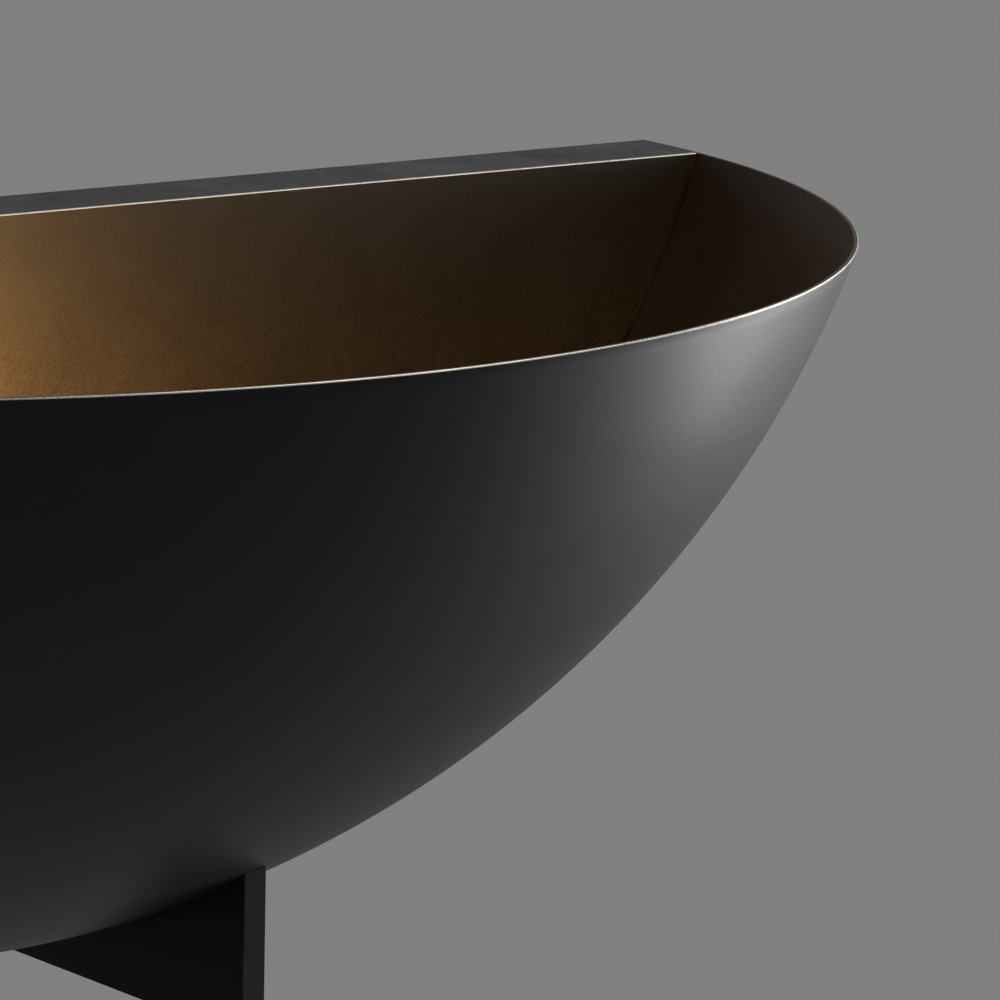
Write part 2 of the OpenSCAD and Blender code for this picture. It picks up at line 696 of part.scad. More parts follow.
// Outline of the glass at a distance inside its outer face: a head, a hollow curve and a neck
function glass_outline(inset) =
    let (head = bulb_radius - inset, blend = neck_blend + inset, neck = neck_radius - inset)
    let (reach = sqrt(pow(head + blend, 2) - pow(neck + blend, 2)))
    let (lean = atan2(neck + blend, reach))
    concat([for (k = [0:18]) let (a = (180 - lean) * k / 18) [head * sin(a), head_centre + head * cos(a)]],
        [for (k = [1:8]) let (a = lean * (1 - k / 8) + 90 * k / 8)
            [neck + blend - blend * sin(a), head_centre - reach + blend * cos(a)]],
        [[neck, cap_end - neck_hold]]);

// Opal glass envelope
module bulb_glass() color([1, 0.95, 0.85]) on_bulb_axis() rotate_extrude()
    polygon(concat(glass_outline(0), reversed(glass_outline(glass_sheet))));

wall_plate();
plate_earth_screw();
bowl_shell();
back_panel();
top_strip();
keel_plate_left();
keel_plate_right();
hanger_bar();
panel_studs();
stud_nuts();
lock_screw();
holder_bracket();
bracket_screws();
bracket_nuts();
lampholder_body();
holder_screws();
screw_shell();
centre_contact();
terminals();
terminal_screws();
grommet();
live_lead();
neutral_lead();
earth_lead();
earth_ring();
wire_connectors();
bulb_contact();
bulb_insulator();
bulb_cap();
bulb_glass();
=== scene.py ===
"""Bowl wall sconce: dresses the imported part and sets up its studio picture.

X runs along the wall, +Z is up, the room lies towards -Y and the wall is the plane y = 0. The origin is
the centre of the wall plate's screw pattern. Pieces are written in millimetres and made metres by MM;
finishes, geometry trees and the studio are in metres. Colours are linear.
"""

import logging
import math
from dataclasses import dataclass
from enum import Enum
from functools import cache
from typing import Callable, Iterable

import bmesh
import bpy
from mathutils import Matrix, Vector


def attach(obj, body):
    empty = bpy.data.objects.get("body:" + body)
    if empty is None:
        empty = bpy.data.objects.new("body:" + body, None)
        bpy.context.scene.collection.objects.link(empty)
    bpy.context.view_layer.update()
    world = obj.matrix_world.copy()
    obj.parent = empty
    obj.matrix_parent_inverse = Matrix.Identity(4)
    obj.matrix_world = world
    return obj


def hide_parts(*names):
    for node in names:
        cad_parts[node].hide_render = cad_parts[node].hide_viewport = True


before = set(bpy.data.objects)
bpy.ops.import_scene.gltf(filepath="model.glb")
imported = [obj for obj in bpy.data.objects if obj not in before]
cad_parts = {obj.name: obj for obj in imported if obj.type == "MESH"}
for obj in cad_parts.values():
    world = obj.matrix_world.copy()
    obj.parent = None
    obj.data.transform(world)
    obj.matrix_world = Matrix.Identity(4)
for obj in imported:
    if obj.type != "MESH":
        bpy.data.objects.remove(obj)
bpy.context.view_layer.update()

MM = 0.001
# Inputs of a turned row that aren't lengths.
PLAIN_INPUTS = ("steps", "sweep", "rolled", "flutes", "count")
# Metres: points closer than MERGE are one, a radius under ON_AXIS is none, FAR cuts nothing off.
MERGE, ON_AXIS, FAR = 1e-6, 1e-5, 10.0
# Height of the block that cuts a screwdriver slot, in metres.
CUTTER = 0.02
Node, Socket, Tree = bpy.types.Node, bpy.types.NodeSocket, bpy.types.NodeTree
Piece, Face, Material = bpy.types.Object, bpy.types.MeshPolygon, bpy.types.Material
Colour = tuple[float, float, float]
Place = tuple[float, float, float]
Profile = list[tuple[float, float]]
ORIGIN = (0.0, 0.0, 0.0)
log = logging.getLogger("sconce")


class Body(Enum):
    """Bodies of the part that the pieces ride on."""

    WALL = "wall_mount"
    SCONCE = "sconce"
    BULB = "bulb"
    LOCK = "lock_screw"


class Facing(Enum):
    """Ways in which a turned piece's own axis points, as turns about X."""

    UP = 0.0
    ROOM = math.pi / 2
    WALL = -math.pi / 2
    DOWN = math.pi


class Lay(Enum):
    """Direction of the fine lines that forming leaves in a sheet, as the stretch of their pattern."""

    EVEN = (1.0, 1.0, 1.0)
    ALONG_WALL = (0.06, 1.0, 1.0)
    ACROSS_EDGE = (1.0, 0.12, 1.0)
    SPUN = (0.3, 0.3, 1.0)


class Crease(Enum):
    """Angles in degrees above which the edges of a piece stay crisp."""

    TURNED = 35.0
    BOWL = 40.0
    BEVELLED = 50.0
    ROUND = 60.0


class Wire:
    """What comes out of a node; arithmetic on it adds maths nodes."""

    def __init__(self, sheet: "NodeSheet", socket: Socket) -> None:
        """Keeps the socket and the sheet that it is on."""
        self.sheet, self.socket = sheet, socket

    def __add__(self, other: object) -> "Wire":
        """Adds."""
        return self.sheet.math("ADD", self, other)

    def __sub__(self, other: object) -> "Wire":
        """Subtracts."""
        return self.sheet.math("SUBTRACT", self, other)

    def __rsub__(self, other: object) -> "Wire":
        """Subtracts this from a number."""
        return self.sheet.math("SUBTRACT", other, self)

    def __mul__(self, other: object) -> "Wire":
        """Multiplies."""
        return self.sheet.math("MULTIPLY", self, other)

    def __truediv__(self, other: object) -> "Wire":
        """Divides."""
        return self.sheet.math("DIVIDE", self, other)

    def __rtruediv__(self, other: object) -> "Wire":
        """Divides a number by this."""
        return self.sheet.math("DIVIDE", other, self)


class NodeSheet:
    """A node tree that is being written, for shaders and for geometry."""

    KINDS = {int: "Int", float: "Float", tuple: "Vector"}

    def __init__(self, tree: Tree) -> None:
        """Keeps the tree that the nodes go into."""
        self.tree = tree

    @classmethod
    def group(cls, title: str, inputs: dict[str, object], output: str) -> "NodeSheet":
        """Starts a node group.

        Args:
            title: name of the group.
            inputs: each input's default value, or else the kind of its socket, by name.
            output: name of the output; Geometry makes it a geometry tree.

        Returns:
            The sheet, which gives the group's inputs by name.
        """
        family, kind = ("Geometry", "Geometry") if output == "Geometry" else ("Shader", "Float")
        sheet = cls(bpy.data.node_groups.new(title, f"{family}NodeTree"))
        new_socket = sheet.tree.interface.new_socket
        for name, default in inputs.items():
            known = cls.KINDS.get(type(default))
            item = new_socket(name, in_out="INPUT", socket_type=f"NodeSocket{known or default}")
            if known:
                item.default_value = default
        new_socket(output, in_out="OUTPUT", socket_type=f"NodeSocket{kind}")
        sheet.given = sheet.node("NodeGroupInput").outputs
        return sheet

    @classmethod
    def material(cls, made: Material) -> "NodeSheet":
        """Opens a material.

        Args:
            made: the material.

        Returns:
            The sheet, with the material's shader as shader and the object's coordinates as place.
        """
        made.use_nodes = True
        sheet = cls(made.node_tree)
        sheet.shader = made.node_tree.nodes["Principled BSDF"]
        sheet.place = sheet.wire("ShaderNodeTexCoord", output="Object")
        return sheet

    def __getitem__(self, name: str) -> Wire:
        """Gives an input of the group."""
        return Wire(self, self.given[name])

    def feed(self, node: Node, inputs: dict) -> None:
        """Links a node's inputs to wires, or sets their values.

        Args:
            node: the node.
            inputs: what each input gets, by number or name; a colour gets full opacity.
        """
        for key, value in inputs.items():
            socket = node.inputs[key] if isinstance(key, int) else next(
                s for s in node.inputs if s.name == key and s.enabled)
            if isinstance(value, Wire):
                self.tree.links.new(value.socket, socket)
            else:
                socket.default_value = (*value, 1.0) if socket.type == "RGBA" else value

    def node(self, kind: str, inputs: dict | None = None, **settings: object) -> Node:
        """Adds a node.

        Args:
            kind: Blender's name of the node type.
            inputs: what each input gets, by number or name.
            settings: properties of the node.

        Returns:
            The new node.
        """
        node = self.tree.nodes.new(kind)
        for key, value in settings.items():
            setattr(node, key, value)
        self.feed(node, inputs or {})
        return node

    def wire(self, kind: str, inputs: dict | None = None, output: str = "", **settings: object) -> Wire:
        """Adds a node and gives the output of that name, or else its first one."""
        outputs = self.node(kind, inputs, **settings).outputs
        return Wire(self, outputs[output] if output else next(s for s in outputs if s.enabled))

    def math(self, operation: str, *values: object) -> Wire:
        """Adds a maths node."""
        return self.wire("ShaderNodeMath", dict(enumerate(values)), operation=operation)

    def clamp(self, value: Wire) -> Wire:
        """Keeps a value between 0 and 1."""
        return self.wire("ShaderNodeClamp", {0: value})

    def vector(self, x: object, y: object, z: object) -> Wire:
        """Joins three numbers into a vector."""
        return self.wire("ShaderNodeCombineXYZ", {0: x, 1: y, 2: z})

    def split(self, vector: Wire) -> list[Wire]:
        """Takes a vector apart into its three numbers."""
        return [Wire(self, s) for s in self.node("ShaderNodeSeparateXYZ", {0: vector}).outputs]

    def stretched(self, vector: Wire, factors: object) -> Wire:
        """Multiplies a vector by another one, number by number."""
        return self.wire("ShaderNodeVectorMath", {0: vector, 1: factors}, operation="MULTIPLY")

    def ranged(self, value: Wire, start: object = 0.0, end: object = 1.0, low: float = 0.0,
               high: float = 1.0, **settings: object) -> Wire:
        """Spreads a value that runs from start to end over the range from low to high."""
        return self.wire("ShaderNodeMapRange", {
            "Value": value, "From Min": start, "From Max": end, "To Min": low, "To Max": high}, **settings)

    def blend(self, mask: Wire, first: object, second: object) -> Wire:
        """Mixes two colours by a mask of 0 to 1."""
        return self.wire("ShaderNodeMix", {"Factor": mask, "A": first, "B": second}, data_type="RGBA")

    def noise(self, place: Wire, size: Wire, detail: object, **inputs: float) -> Wire:
        """Adds noise whose patches have a size."""
        inputs = {"Vector": place, "Scale": 1.0 / size, "Detail": detail, **inputs}
        return self.wire("ShaderNodeTexNoise", inputs)

    def use(self, group: Tree, inputs: dict) -> Wire:
        """Places a shader group and gives its output."""
        return self.wire("ShaderNodeGroup", inputs, node_tree=group)

    def end(self, result: Wire) -> Tree:
        """Leads a wire out of the group and gives the finished tree."""
        self.node("NodeGroupOutput", {0: result})
        return self.tree

    def end_shape(self, shape: Wire) -> Tree:
        """Makes a shape real, gives it the group's material and ends the tree with it."""
        real = self.wire("GeometryNodeRealizeInstances", {0: shape})
        return self.end(self.wire("GeometryNodeSetMaterial", {0: real, "Material": self["Material"]}))


@cache
def fine_grain() -> Tree:
    """Builds the fine grain of a rolled, spun or moulded surface.

    Returns:
        The group, whose Value runs from 0 to 1.
    """
    sheet = NodeSheet.group(
        "fine_grain", {"Vector": "Vector", "Size": 0.0005, "Stretch": (1.0, 1.0, 1.0)}, "Value")
    place = sheet.stretched(sheet["Vector"], sheet["Stretch"])
    return sheet.end(sheet.ranged(sheet.noise(place, sheet["Size"], 4.0, Roughness=0.62), 0.25, 0.75))


@cache
def patina_clouds() -> Tree:
    """Builds the slow change of tone in a patina.

    Returns:
        The group, whose Mask runs from 0 to 1.
    """
    sheet = NodeSheet.group(
        "patina_clouds", {"Vector": "Vector", "Size": 0.03, "Contrast": 1.0, "Detail": 5.0}, "Mask")
    noise = sheet.noise(sheet["Vector"], sheet["Size"], sheet["Detail"], Roughness=0.55, Distortion=0.6)
    return sheet.end(sheet.clamp((noise - 0.5) * (sheet["Contrast"] * 2.0) + 0.5))


@cache
def edge_wear() -> Tree:
    """Builds the bare metal along bevelled edges, broken up by noise.

    Returns:
        The group, whose Mask is 1 where the finish has worn off.
    """
    sheet = NodeSheet.group("edge_wear", {"Vector": "Vector", "Amount": 1.0, "Size": 0.004}, "Mask")
    edge = sheet.wire("ShaderNodeAttribute", output="Fac", attribute_name="edge")
    noise = sheet.noise(sheet["Vector"], sheet["Size"], 3.0)
    return sheet.end(edge * sheet.ranged(noise, 0.75 - sheet["Amount"], 0.95 - sheet["Amount"]))


@cache
def zinc_spangle() -> Tree:
    """Builds the flat crystals of a zinc coat.

    Returns:
        The group, whose Value differs from crystal to crystal.
    """
    sheet = NodeSheet.group("zinc_spangle", {"Vector": "Vector", "Size": 0.004}, "Value")
    cells = {"Vector": sheet["Vector"], "Scale": 1.0 / sheet["Size"]}
    tones = sheet.wire("ShaderNodeTexVoronoi", cells, "Color")
    return sheet.end(sheet.wire("ShaderNodeSeparateColor", {0: tones}))


@dataclass(frozen=True)
class Finish:
    """A surface with a clouded colour, a fine grain and, along its edges, bare metal."""

    name: str
    dark: Colour
    light: Colour
    metallic: float
    smooth: float
    rough: float
    cloud_size: float = 0.006
    cloud_contrast: float = 1.0
    grain_size: float = 0.0005
    grain_depth: float = 2e-6
    grain_tone: float = 0.18
    lay: Lay = Lay.EVEN
    index: float = 1.5
    wear: float = 0.0
    bare: Colour = (0.7, 0.62, 0.5)
    bare_rough: float = 0.28
    coat: float = 0.0
    coat_rough: float = 0.08
    wave_size: float = 0.03
    wave_depth: float = 0.0
    wave_contrast: float = 0.8
    wave_lay: Lay = Lay.EVEN
    # Painted shade: over a reach below a top height the colour turns towards a dark neutral grey, so the
    # surface darkens and greys towards its top edge as if less lit there.
    painted_shade: Colour = (0.056, 0.056, 0.057)
    painted_shade_share: float = 0.8
    painted_shade_top: float = 0.0
    painted_shade_reach: float = 0.0

    def tone(self, sheet: NodeSheet) -> Wire:
        """Gives the mask of 0 to 1 between the dark and the light colour."""
        return sheet.use(patina_clouds(), {
            "Vector": sheet.place, "Size": self.cloud_size, "Contrast": self.cloud_contrast})

    @cache
    def material(self) -> Material:
        """Builds the finish's material at its first use.

        Returns:
            The material.
        """
        made = bpy.data.materials.new(self.name)
        made.diffuse_color = (*self.light, 1.0)
        sheet = NodeSheet.material(made)
        grain = sheet.use(fine_grain(), {
            "Vector": sheet.place, "Size": self.grain_size, "Stretch": self.lay.value})
        mask = self.tone(sheet) + sheet.ranged(grain, low=-self.grain_tone, high=self.grain_tone)
        body = sheet.blend(sheet.clamp(mask), self.dark, self.light)
        # Painted shade: darker and greyer towards the top edge, standing in for the light falling off
        # there.
        if self.painted_shade_reach > 0.0:
            shade_mask = sheet.ranged(
                sheet.split(sheet.place)[2], self.painted_shade_top - self.painted_shade_reach, self.painted_shade_top,
                high=self.painted_shade_share, interpolation_type="SMOOTHSTEP")
            body = sheet.blend(shade_mask, body, self.painted_shade)
        rough, metal = sheet.ranged(grain, low=self.smooth, high=self.rough), self.metallic
        if self.wear > 0.0:
            worn = sheet.use(edge_wear(), {"Vector": sheet.place, "Amount": self.wear})
            body = sheet.blend(worn, body, self.bare)
            keep = 1.0 - worn
            rough, metal = rough * keep + worn * self.bare_rough, keep * self.metallic + worn
        height = grain * self.grain_depth
        if self.wave_depth > 0.0:
            wave = sheet.use(patina_clouds(), {
                "Vector": sheet.stretched(sheet.place, self.wave_lay.value), "Size": self.wave_size,
                "Contrast": self.wave_contrast, "Detail": 1.0})
            height = height + wave * self.wave_depth
        bump = sheet.wire("ShaderNodeBump", {"Height": height, "Distance": 1.0, "Strength": 1.0})
        sheet.feed(sheet.shader, {
            "Base Color": body, "Roughness": rough, "Metallic": metal, "Normal": bump, "IOR": self.index,
            "Coat Weight": self.coat, "Coat Roughness": self.coat_rough})
        return made


@dataclass(frozen=True)
class ZincFinish(Finish):
    """A zinc coat: its tone changes from crystal to crystal."""

    crystals: tuple[float, float] = (0.2, 0.8)

    def tone(self, sheet: NodeSheet) -> Wire:
        """Gives the mask of 0 to 1 between the dark and the light colour."""
        cells = sheet.use(zinc_spangle(), {"Vector": sheet.place, "Size": self.cloud_size})
        return sheet.ranged(cells, 0.0, 1.0, *self.crystals)


@dataclass(frozen=True)
class LampFinish(Finish):
    """Opal glass with the light of the lamp behind it.

    The glass lights its surroundings at full strength; to the eye it shows as an exposed picture would
    hold it, warmer at the neck than at the crown.
    """

    glow: Colour = (1.0, 0.52, 0.18)
    paler: float = 1.12
    glow_contrast: float = 0.4
    strength: float = 150.0
    crown: Colour = (0.90, 0.78, 0.58)
    neck: Colour = (0.66, 0.38, 0.17)
    crown_place: float = -0.155
    neck_place: float = -0.085

    @cache
    def material(self) -> Material:
        """Builds the material, with its light, at its first use.

        Returns:
            The material.
        """
        made = super().material()
        sheet = NodeSheet.material(made)
        mask = sheet.use(patina_clouds(), {
            "Vector": sheet.place, "Size": self.cloud_size, "Contrast": self.glow_contrast})
        full = sheet.blend(mask, self.glow, tuple(min(1.0, part * self.paler) for part in self.glow))
        depth = sheet.ranged(sheet.split(sheet.place)[1], self.neck_place, self.crown_place,
                             interpolation_type="SMOOTHSTEP")
        neck, crown = ([part / self.strength for part in tone] for tone in (self.neck, self.crown))
        eye = sheet.wire("ShaderNodeLightPath", output="Is Camera Ray")
        light = sheet.blend(eye, full, sheet.blend(depth, neck, crown))
        sheet.feed(sheet.shader, {"Emission Color": light, "Emission Strength": self.strength})
        return made


BLACK_PATINA = Finish(
    "black_patina", (0.0053, 0.0053, 0.0055), (0.0087, 0.0086, 0.0085), 0.0, 0.47, 0.55, cloud_size=0.06,
    grain_size=0.0008, index=1.275, coat=0.15, coat_rough=0.30, wave_depth=2.6e-4, wave_lay=Lay.SPUN)
# The panel's brown patina, painted darker and greyer towards its top edge as painted shade.
BROWN_PATINA = Finish(
    "brown_patina", (0.100, 0.075, 0.049), (0.200, 0.152, 0.102), 1.0, 0.28, 0.38, cloud_size=0.022,
    cloud_contrast=0.8, grain_size=0.0006, grain_depth=9e-6, grain_tone=0.6, index=1.4, wear=0.9,
    bare=(0.85, 0.78, 0.66), bare_rough=0.25, coat=0.9, coat_rough=0.5, painted_shade_top=0.088,
    painted_shade_reach=0.055)
BARE_EDGE = Finish("bare_edge", (0.62, 0.54, 0.44), (0.86, 0.80, 0.70), 1.0, 0.22, 0.36, cloud_size=0.012)
RUBBED_EDGE = Finish(
    "rubbed_edge", (0.052, 0.047, 0.041), (0.105, 0.095, 0.082), 0.5, 0.40, 0.52, cloud_size=0.01,
    grain_depth=3e-6, index=1.2)
GREY_STRIP = Finish(
    "grey_strip", (0.040, 0.0405, 0.042), (0.094, 0.094, 0.096), 0.0, 0.48, 0.62, cloud_size=0.02,
    cloud_contrast=0.9, grain_size=0.0022, grain_depth=4e-6, grain_tone=0.45, lay=Lay.ACROSS_EDGE,
    index=1.2, wear=0.4, bare=(0.16, 0.15, 0.14))
# Painted light: a paler copy of the keels' black for their narrow faces towards the room, standing in for
# the light those faces catch.
KEEL_FRONT_LIT = Finish(
    "keel_front_lit", (0.0270, 0.0270, 0.0270), (0.0380, 0.0375, 0.0365), 0.0, 0.36, 0.46, cloud_size=0.03,
    grain_size=0.0010, grain_depth=3e-6, index=1.33)
# Weld beads: dark brown with lighter warm patches, partly the bead's uneven tone and partly painted glints.
SEAM_BROWN_GLINTS = Finish(
    "seam_brown_and_glints", (0.0008, 0.0006, 0.0004), (0.0080, 0.0056, 0.0034), 0.0, 0.66, 0.80, cloud_size=0.010,
    cloud_contrast=1.8, grain_size=0.0012, grain_depth=1.2e-5, index=1.12)
INNER_PATINA = Finish(
    "inner_patina", (0.0095, 0.0084, 0.0088), (0.0180, 0.0165, 0.0175), 0.8, 0.38, 0.50, cloud_size=0.03,
    cloud_contrast=0.7, grain_size=0.0007, grain_depth=8e-6, grain_tone=0.5, index=1.16, wave_size=0.05,
    wave_depth=1.5e-4)
# The keels' black patina, darker than the bowl's black as painted shade for the dim space between and under
# them.
KEEL_BLACK_SHADED = Finish(
    "keel_black_shaded", (0.0018, 0.0018, 0.0019), (0.0036, 0.0035, 0.0034), 0.0, 0.36, 0.46, cloud_size=0.04,
    grain_size=0.0010, grain_depth=3e-6, lay=Lay.ALONG_WALL, index=1.18, wear=0.35,
    bare=(0.09, 0.085, 0.08), bare_rough=0.35)
ZINC = ZincFinish(
    "zinc_coat", (0.42, 0.43, 0.44), (0.66, 0.67, 0.68), 0.9, 0.30, 0.46, cloud_size=0.0045,
    grain_size=0.0008, grain_depth=3e-6, lay=Lay.ALONG_WALL, wear=0.55, bare=(0.75, 0.75, 0.74),
    bare_rough=0.22)
BRIGHT_SCREW = Finish(
    "bright_screw", (0.50, 0.51, 0.52), (0.68, 0.68, 0.67), 1.0, 0.22, 0.36, grain_size=0.0004)
BLACK_SCREW = Finish(
    "black_oxide", (0.012, 0.012, 0.013), (0.03, 0.03, 0.032), 0.6, 0.34, 0.5, grain_size=0.0004)
EARTH_SCREW = Finish(
    "green_passivated", (0.03, 0.14, 0.05), (0.08, 0.27, 0.10), 0.7, 0.28, 0.42, cloud_size=0.004,
    grain_size=0.0004)
CERAMIC = Finish(
    "white_glaze", (0.66, 0.63, 0.57), (0.76, 0.74, 0.69), 0.0, 0.16, 0.26, cloud_size=0.012,
    cloud_contrast=0.7, grain_size=0.0016, grain_depth=8e-6, coat=0.6, wear=0.25,
    bare=(0.5, 0.47, 0.42), bare_rough=0.6)
BRASS = Finish(
    "bright_brass", (0.55, 0.37, 0.13), (0.76, 0.55, 0.23), 1.0, 0.2, 0.34, cloud_size=0.008,
    grain_size=0.0004, wear=0.3, bare=(0.9, 0.72, 0.38))
NICKEL = Finish("rolled_nickel", (0.58, 0.56, 0.53), (0.74, 0.72, 0.69), 1.0, 0.18, 0.3, cloud_size=0.008)
WELD_GREY = Finish(
    "weld_grey", (0.05, 0.042, 0.034), (0.13, 0.11, 0.09), 0.8, 0.4, 0.6, cloud_size=0.003,
    grain_size=0.0006, grain_depth=1.2e-5)
SOLDER = Finish(
    "dull_solder", (0.36, 0.36, 0.37), (0.52, 0.52, 0.52), 0.9, 0.4, 0.6, cloud_size=0.002,
    grain_depth=9e-6)
BLACK_GLASS = Finish(
    "fused_black_glass", (0.008, 0.008, 0.009), (0.016, 0.015, 0.015), 0.0, 0.1, 0.2, cloud_size=0.004,
    grain_size=0.0006, grain_depth=4e-6, coat=0.4)
OPAL = LampFinish(
    "lit_opal_glass", (0.42, 0.39, 0.35), (0.50, 0.47, 0.43), 0.0, 0.22, 0.3, cloud_size=0.02,
    grain_size=0.002)
RUBBER = Finish(
    "matt_rubber", (0.012, 0.012, 0.012), (0.028, 0.027, 0.026), 0.0, 0.6, 0.8, cloud_size=0.005,
    grain_size=0.0004, grain_depth=8e-6)
BLACK_SLEEVE, WHITE_SLEEVE, GREEN_SLEEVE = (
    Finish(name, dark, light, 0.0, 0.38, 0.5, grain_depth=5e-6) for name, dark, light in (
        ("black_sleeve", (0.014, 0.014, 0.015), (0.03, 0.03, 0.03)),
        ("white_sleeve", (0.58, 0.57, 0.54), (0.72, 0.71, 0.69)),
        ("green_sleeve", (0.03, 0.2, 0.05), (0.06, 0.32, 0.09))))
ORANGE_PLASTIC = Finish(
    "orange_plastic", (0.62, 0.17, 0.02), (0.78, 0.26, 0.04), 0.0, 0.36, 0.5, cloud_size=0.008,
    grain_depth=6e-6, index=1.46)


@cache
def turned_row() -> Tree:
    """Builds the tree that turns a profile about Z and repeats the result in a row.

    The profile is the object's own row of points, with the radius in X and the height in Z. Threads,
    flats, grip flutes and a screwdriver slot are added to the turned form.

    Returns:
        The geometry tree.
    """
    sheet = NodeSheet.group("turned_row", {
        "Geometry": "Geometry", "Steps": 96, "Sweep": math.tau, "Cut": 0.0, "Pitch": 0.001,
        "Thread Depth": 0.0, "Thread From": 0.0, "Thread To": 0.0, "Rolled": 0.0, "Flats": FAR,
        "Flutes": 0.0, "Flute Depth": 0.0, "Slot Width": 0.0, "Slot Floor": 0.0, "Slot Length": 0.1,
        "Count": 1, "First": "Vector", "Stride": "Vector", "Turn": "Vector", "Material": "Material"},
        "Geometry")
    wire, calc = sheet.wire, sheet.math
    points = wire("GeometryNodeAttributeDomainSize", {0: sheet["Geometry"]})
    grid = wire("GeometryNodeMeshGrid", {"Vertices X": sheet["Steps"] + 1.0, "Vertices Y": points})
    index = wire("GeometryNodeInputIndex")
    column = calc("FLOOR", (index + 0.25) / points)
    radius, _, height = sheet.split(wire("GeometryNodeSampleIndex", {
        0: sheet["Geometry"], "Index": index - column * points,
        "Value": wire("GeometryNodeInputPosition")}, data_type="FLOAT_VECTOR"))
    off_axis = calc("GREATER_THAN", radius, ON_AXIS)
    lean = calc("ARCSINE", calc("MINIMUM", 1.0, sheet["Cut"] / calc("MAXIMUM", radius, MERGE)))
    angle = lean + (sheet["Sweep"] - lean * 2.0) * column / sheet["Steps"]
    phase = calc("FRACT", height / sheet["Pitch"] + angle / math.tau)
    sharp = 1.0 - calc("ABSOLUTE", phase * 2.0 - 1.0)
    rolled = (1.0 - calc("COSINE", phase * math.tau)) * 0.5
    wave = sharp * (1.0 - sheet["Rolled"]) + rolled * sheet["Rolled"]
    rise = (height - sheet["Thread From"]) / sheet["Pitch"]
    fall = (sheet["Thread To"] - height) / sheet["Pitch"]
    inside = sheet.clamp(calc("MINIMUM", rise, fall))
    flutes = (1.0 - calc("COSINE", angle * sheet["Flutes"])) * sheet["Flute Depth"]
    loss = (wave * sheet["Thread Depth"] * inside + flutes * inside) * off_axis
    flat = sheet["Flats"] / calc("COSINE", calc("MODULO", angle, math.pi / 3) - math.pi / 6)
    radius = calc("MINIMUM", radius - loss, flat)
    uncut = calc("LESS_THAN", sheet["Cut"], MERGE) * FAR
    depth = calc("MINIMUM", radius * calc("SINE", angle) * -1.0, uncut - sheet["Cut"])
    spot = sheet.vector(radius * calc("COSINE", angle), depth, height)
    shape = wire("GeometryNodeSetPosition", {0: grid, "Position": spot})
    shape = wire("GeometryNodeMergeByDistance", {0: shape, "Distance": MERGE})
    size = sheet.vector(sheet["Slot Length"], sheet["Slot Width"], CUTTER)
    cutter = wire("GeometryNodeTransform", {
        0: wire("GeometryNodeMeshCube", {"Size": size}),
        "Translation": sheet.vector(0.0, 0.0, sheet["Slot Floor"] + CUTTER / 2)})
    slotted = wire("GeometryNodeMeshBoolean", {0: shape, 1: cutter}, operation="DIFFERENCE", solver="EXACT")
    has_slot = calc("GREATER_THAN", sheet["Slot Width"], 0.0)
    shape = wire("GeometryNodeSwitch", {"Switch": has_slot, "False": shape, "True": slotted},
                 input_type="GEOMETRY")
    places = wire("GeometryNodeMeshLine", {
        "Count": sheet["Count"], "Start Location": sheet["First"], "Offset": sheet["Stride"]},
        mode="OFFSET")
    turn = wire("FunctionNodeEulerToRotation", {0: sheet["Turn"]})
    return sheet.end_shape(wire("GeometryNodeInstanceOnPoints", {
        "Points": places, "Instance": shape, "Rotation": turn}))


@cache
def round_tube() -> Tree:
    """Builds the tree that runs a round tube along the object's row of points.

    Returns:
        The geometry tree.
    """
    sheet = NodeSheet.group("round_tube", {
        "Geometry": "Geometry", "Radius": 0.001, "Sides": 14, "Resolution": 8, "Material": "Material"},
        "Geometry")
    curve = sheet.wire("GeometryNodeMeshToCurve", {0: sheet["Geometry"]})
    curve = sheet.wire("GeometryNodeCurveSplineType", {0: curve}, spline_type="CATMULL_ROM")
    curve = sheet.wire("GeometryNodeSetSplineResolution", {0: curve, "Resolution": sheet["Resolution"]})
    ring = sheet.wire("GeometryNodeCurvePrimitiveCircle", {
        "Resolution": sheet["Sides"], "Radius": sheet["Radius"]})
    return sheet.end_shape(sheet.wire("GeometryNodeCurveToMesh", {
        "Curve": curve, "Profile Curve": ring, "Fill Caps": True}))


@cache
def tack_welds() -> Tree:
    """Builds the tree that sets tack welds along the object's row of points.

    Returns:
        The geometry tree.
    """
    sheet = NodeSheet.group("tack_welds", {
        "Geometry": "Geometry", "Count": 12, "Size": "Vector", "Seed": 7, "Material": "Material"},
        "Geometry")
    path = sheet.wire("GeometryNodeMeshToCurve", {0: sheet["Geometry"]})
    spots = sheet.node("GeometryNodeCurveToPoints", {0: path, "Count": sheet["Count"]}, mode="COUNT")
    points, turns = (Wire(sheet, spots.outputs[key]) for key in ("Points", "Rotation"))
    blob = sheet.wire("GeometryNodeMeshUVSphere", {"Segments": 14, "Rings": 8, "Radius": 1.0})
    spread = sheet.wire("FunctionNodeRandomValue", {
        0: (0.8, 0.8, 0.8), 1: (1.2, 1.15, 1.2), "Seed": sheet["Seed"]}, data_type="FLOAT_VECTOR")
    return sheet.end_shape(sheet.wire("GeometryNodeInstanceOnPoints", {
        "Points": points, "Instance": blob, "Rotation": turns,
        "Scale": sheet.stretched(spread, sheet["Size"])}))


def spaced(start: float, end: float, steps: int) -> list[float]:
    """Gives evenly spaced numbers from start to end."""
    return [start + (end - start) * k / steps for k in range(steps + 1)]


def metres(place: Place) -> list[float]:
    """Turns millimetres into metres."""
    return [part * MM for part in place]


def placed(name: str, data: bpy.types.ID) -> Piece:
    """Makes an object of its data and links it to the scene.

    Args:
        name: name of the object.
        data: its mesh, lamp or camera.

    Returns:
        The object.
    """
    made = bpy.data.objects.new(name, data)
    bpy.context.scene.collection.objects.link(made)
    return made


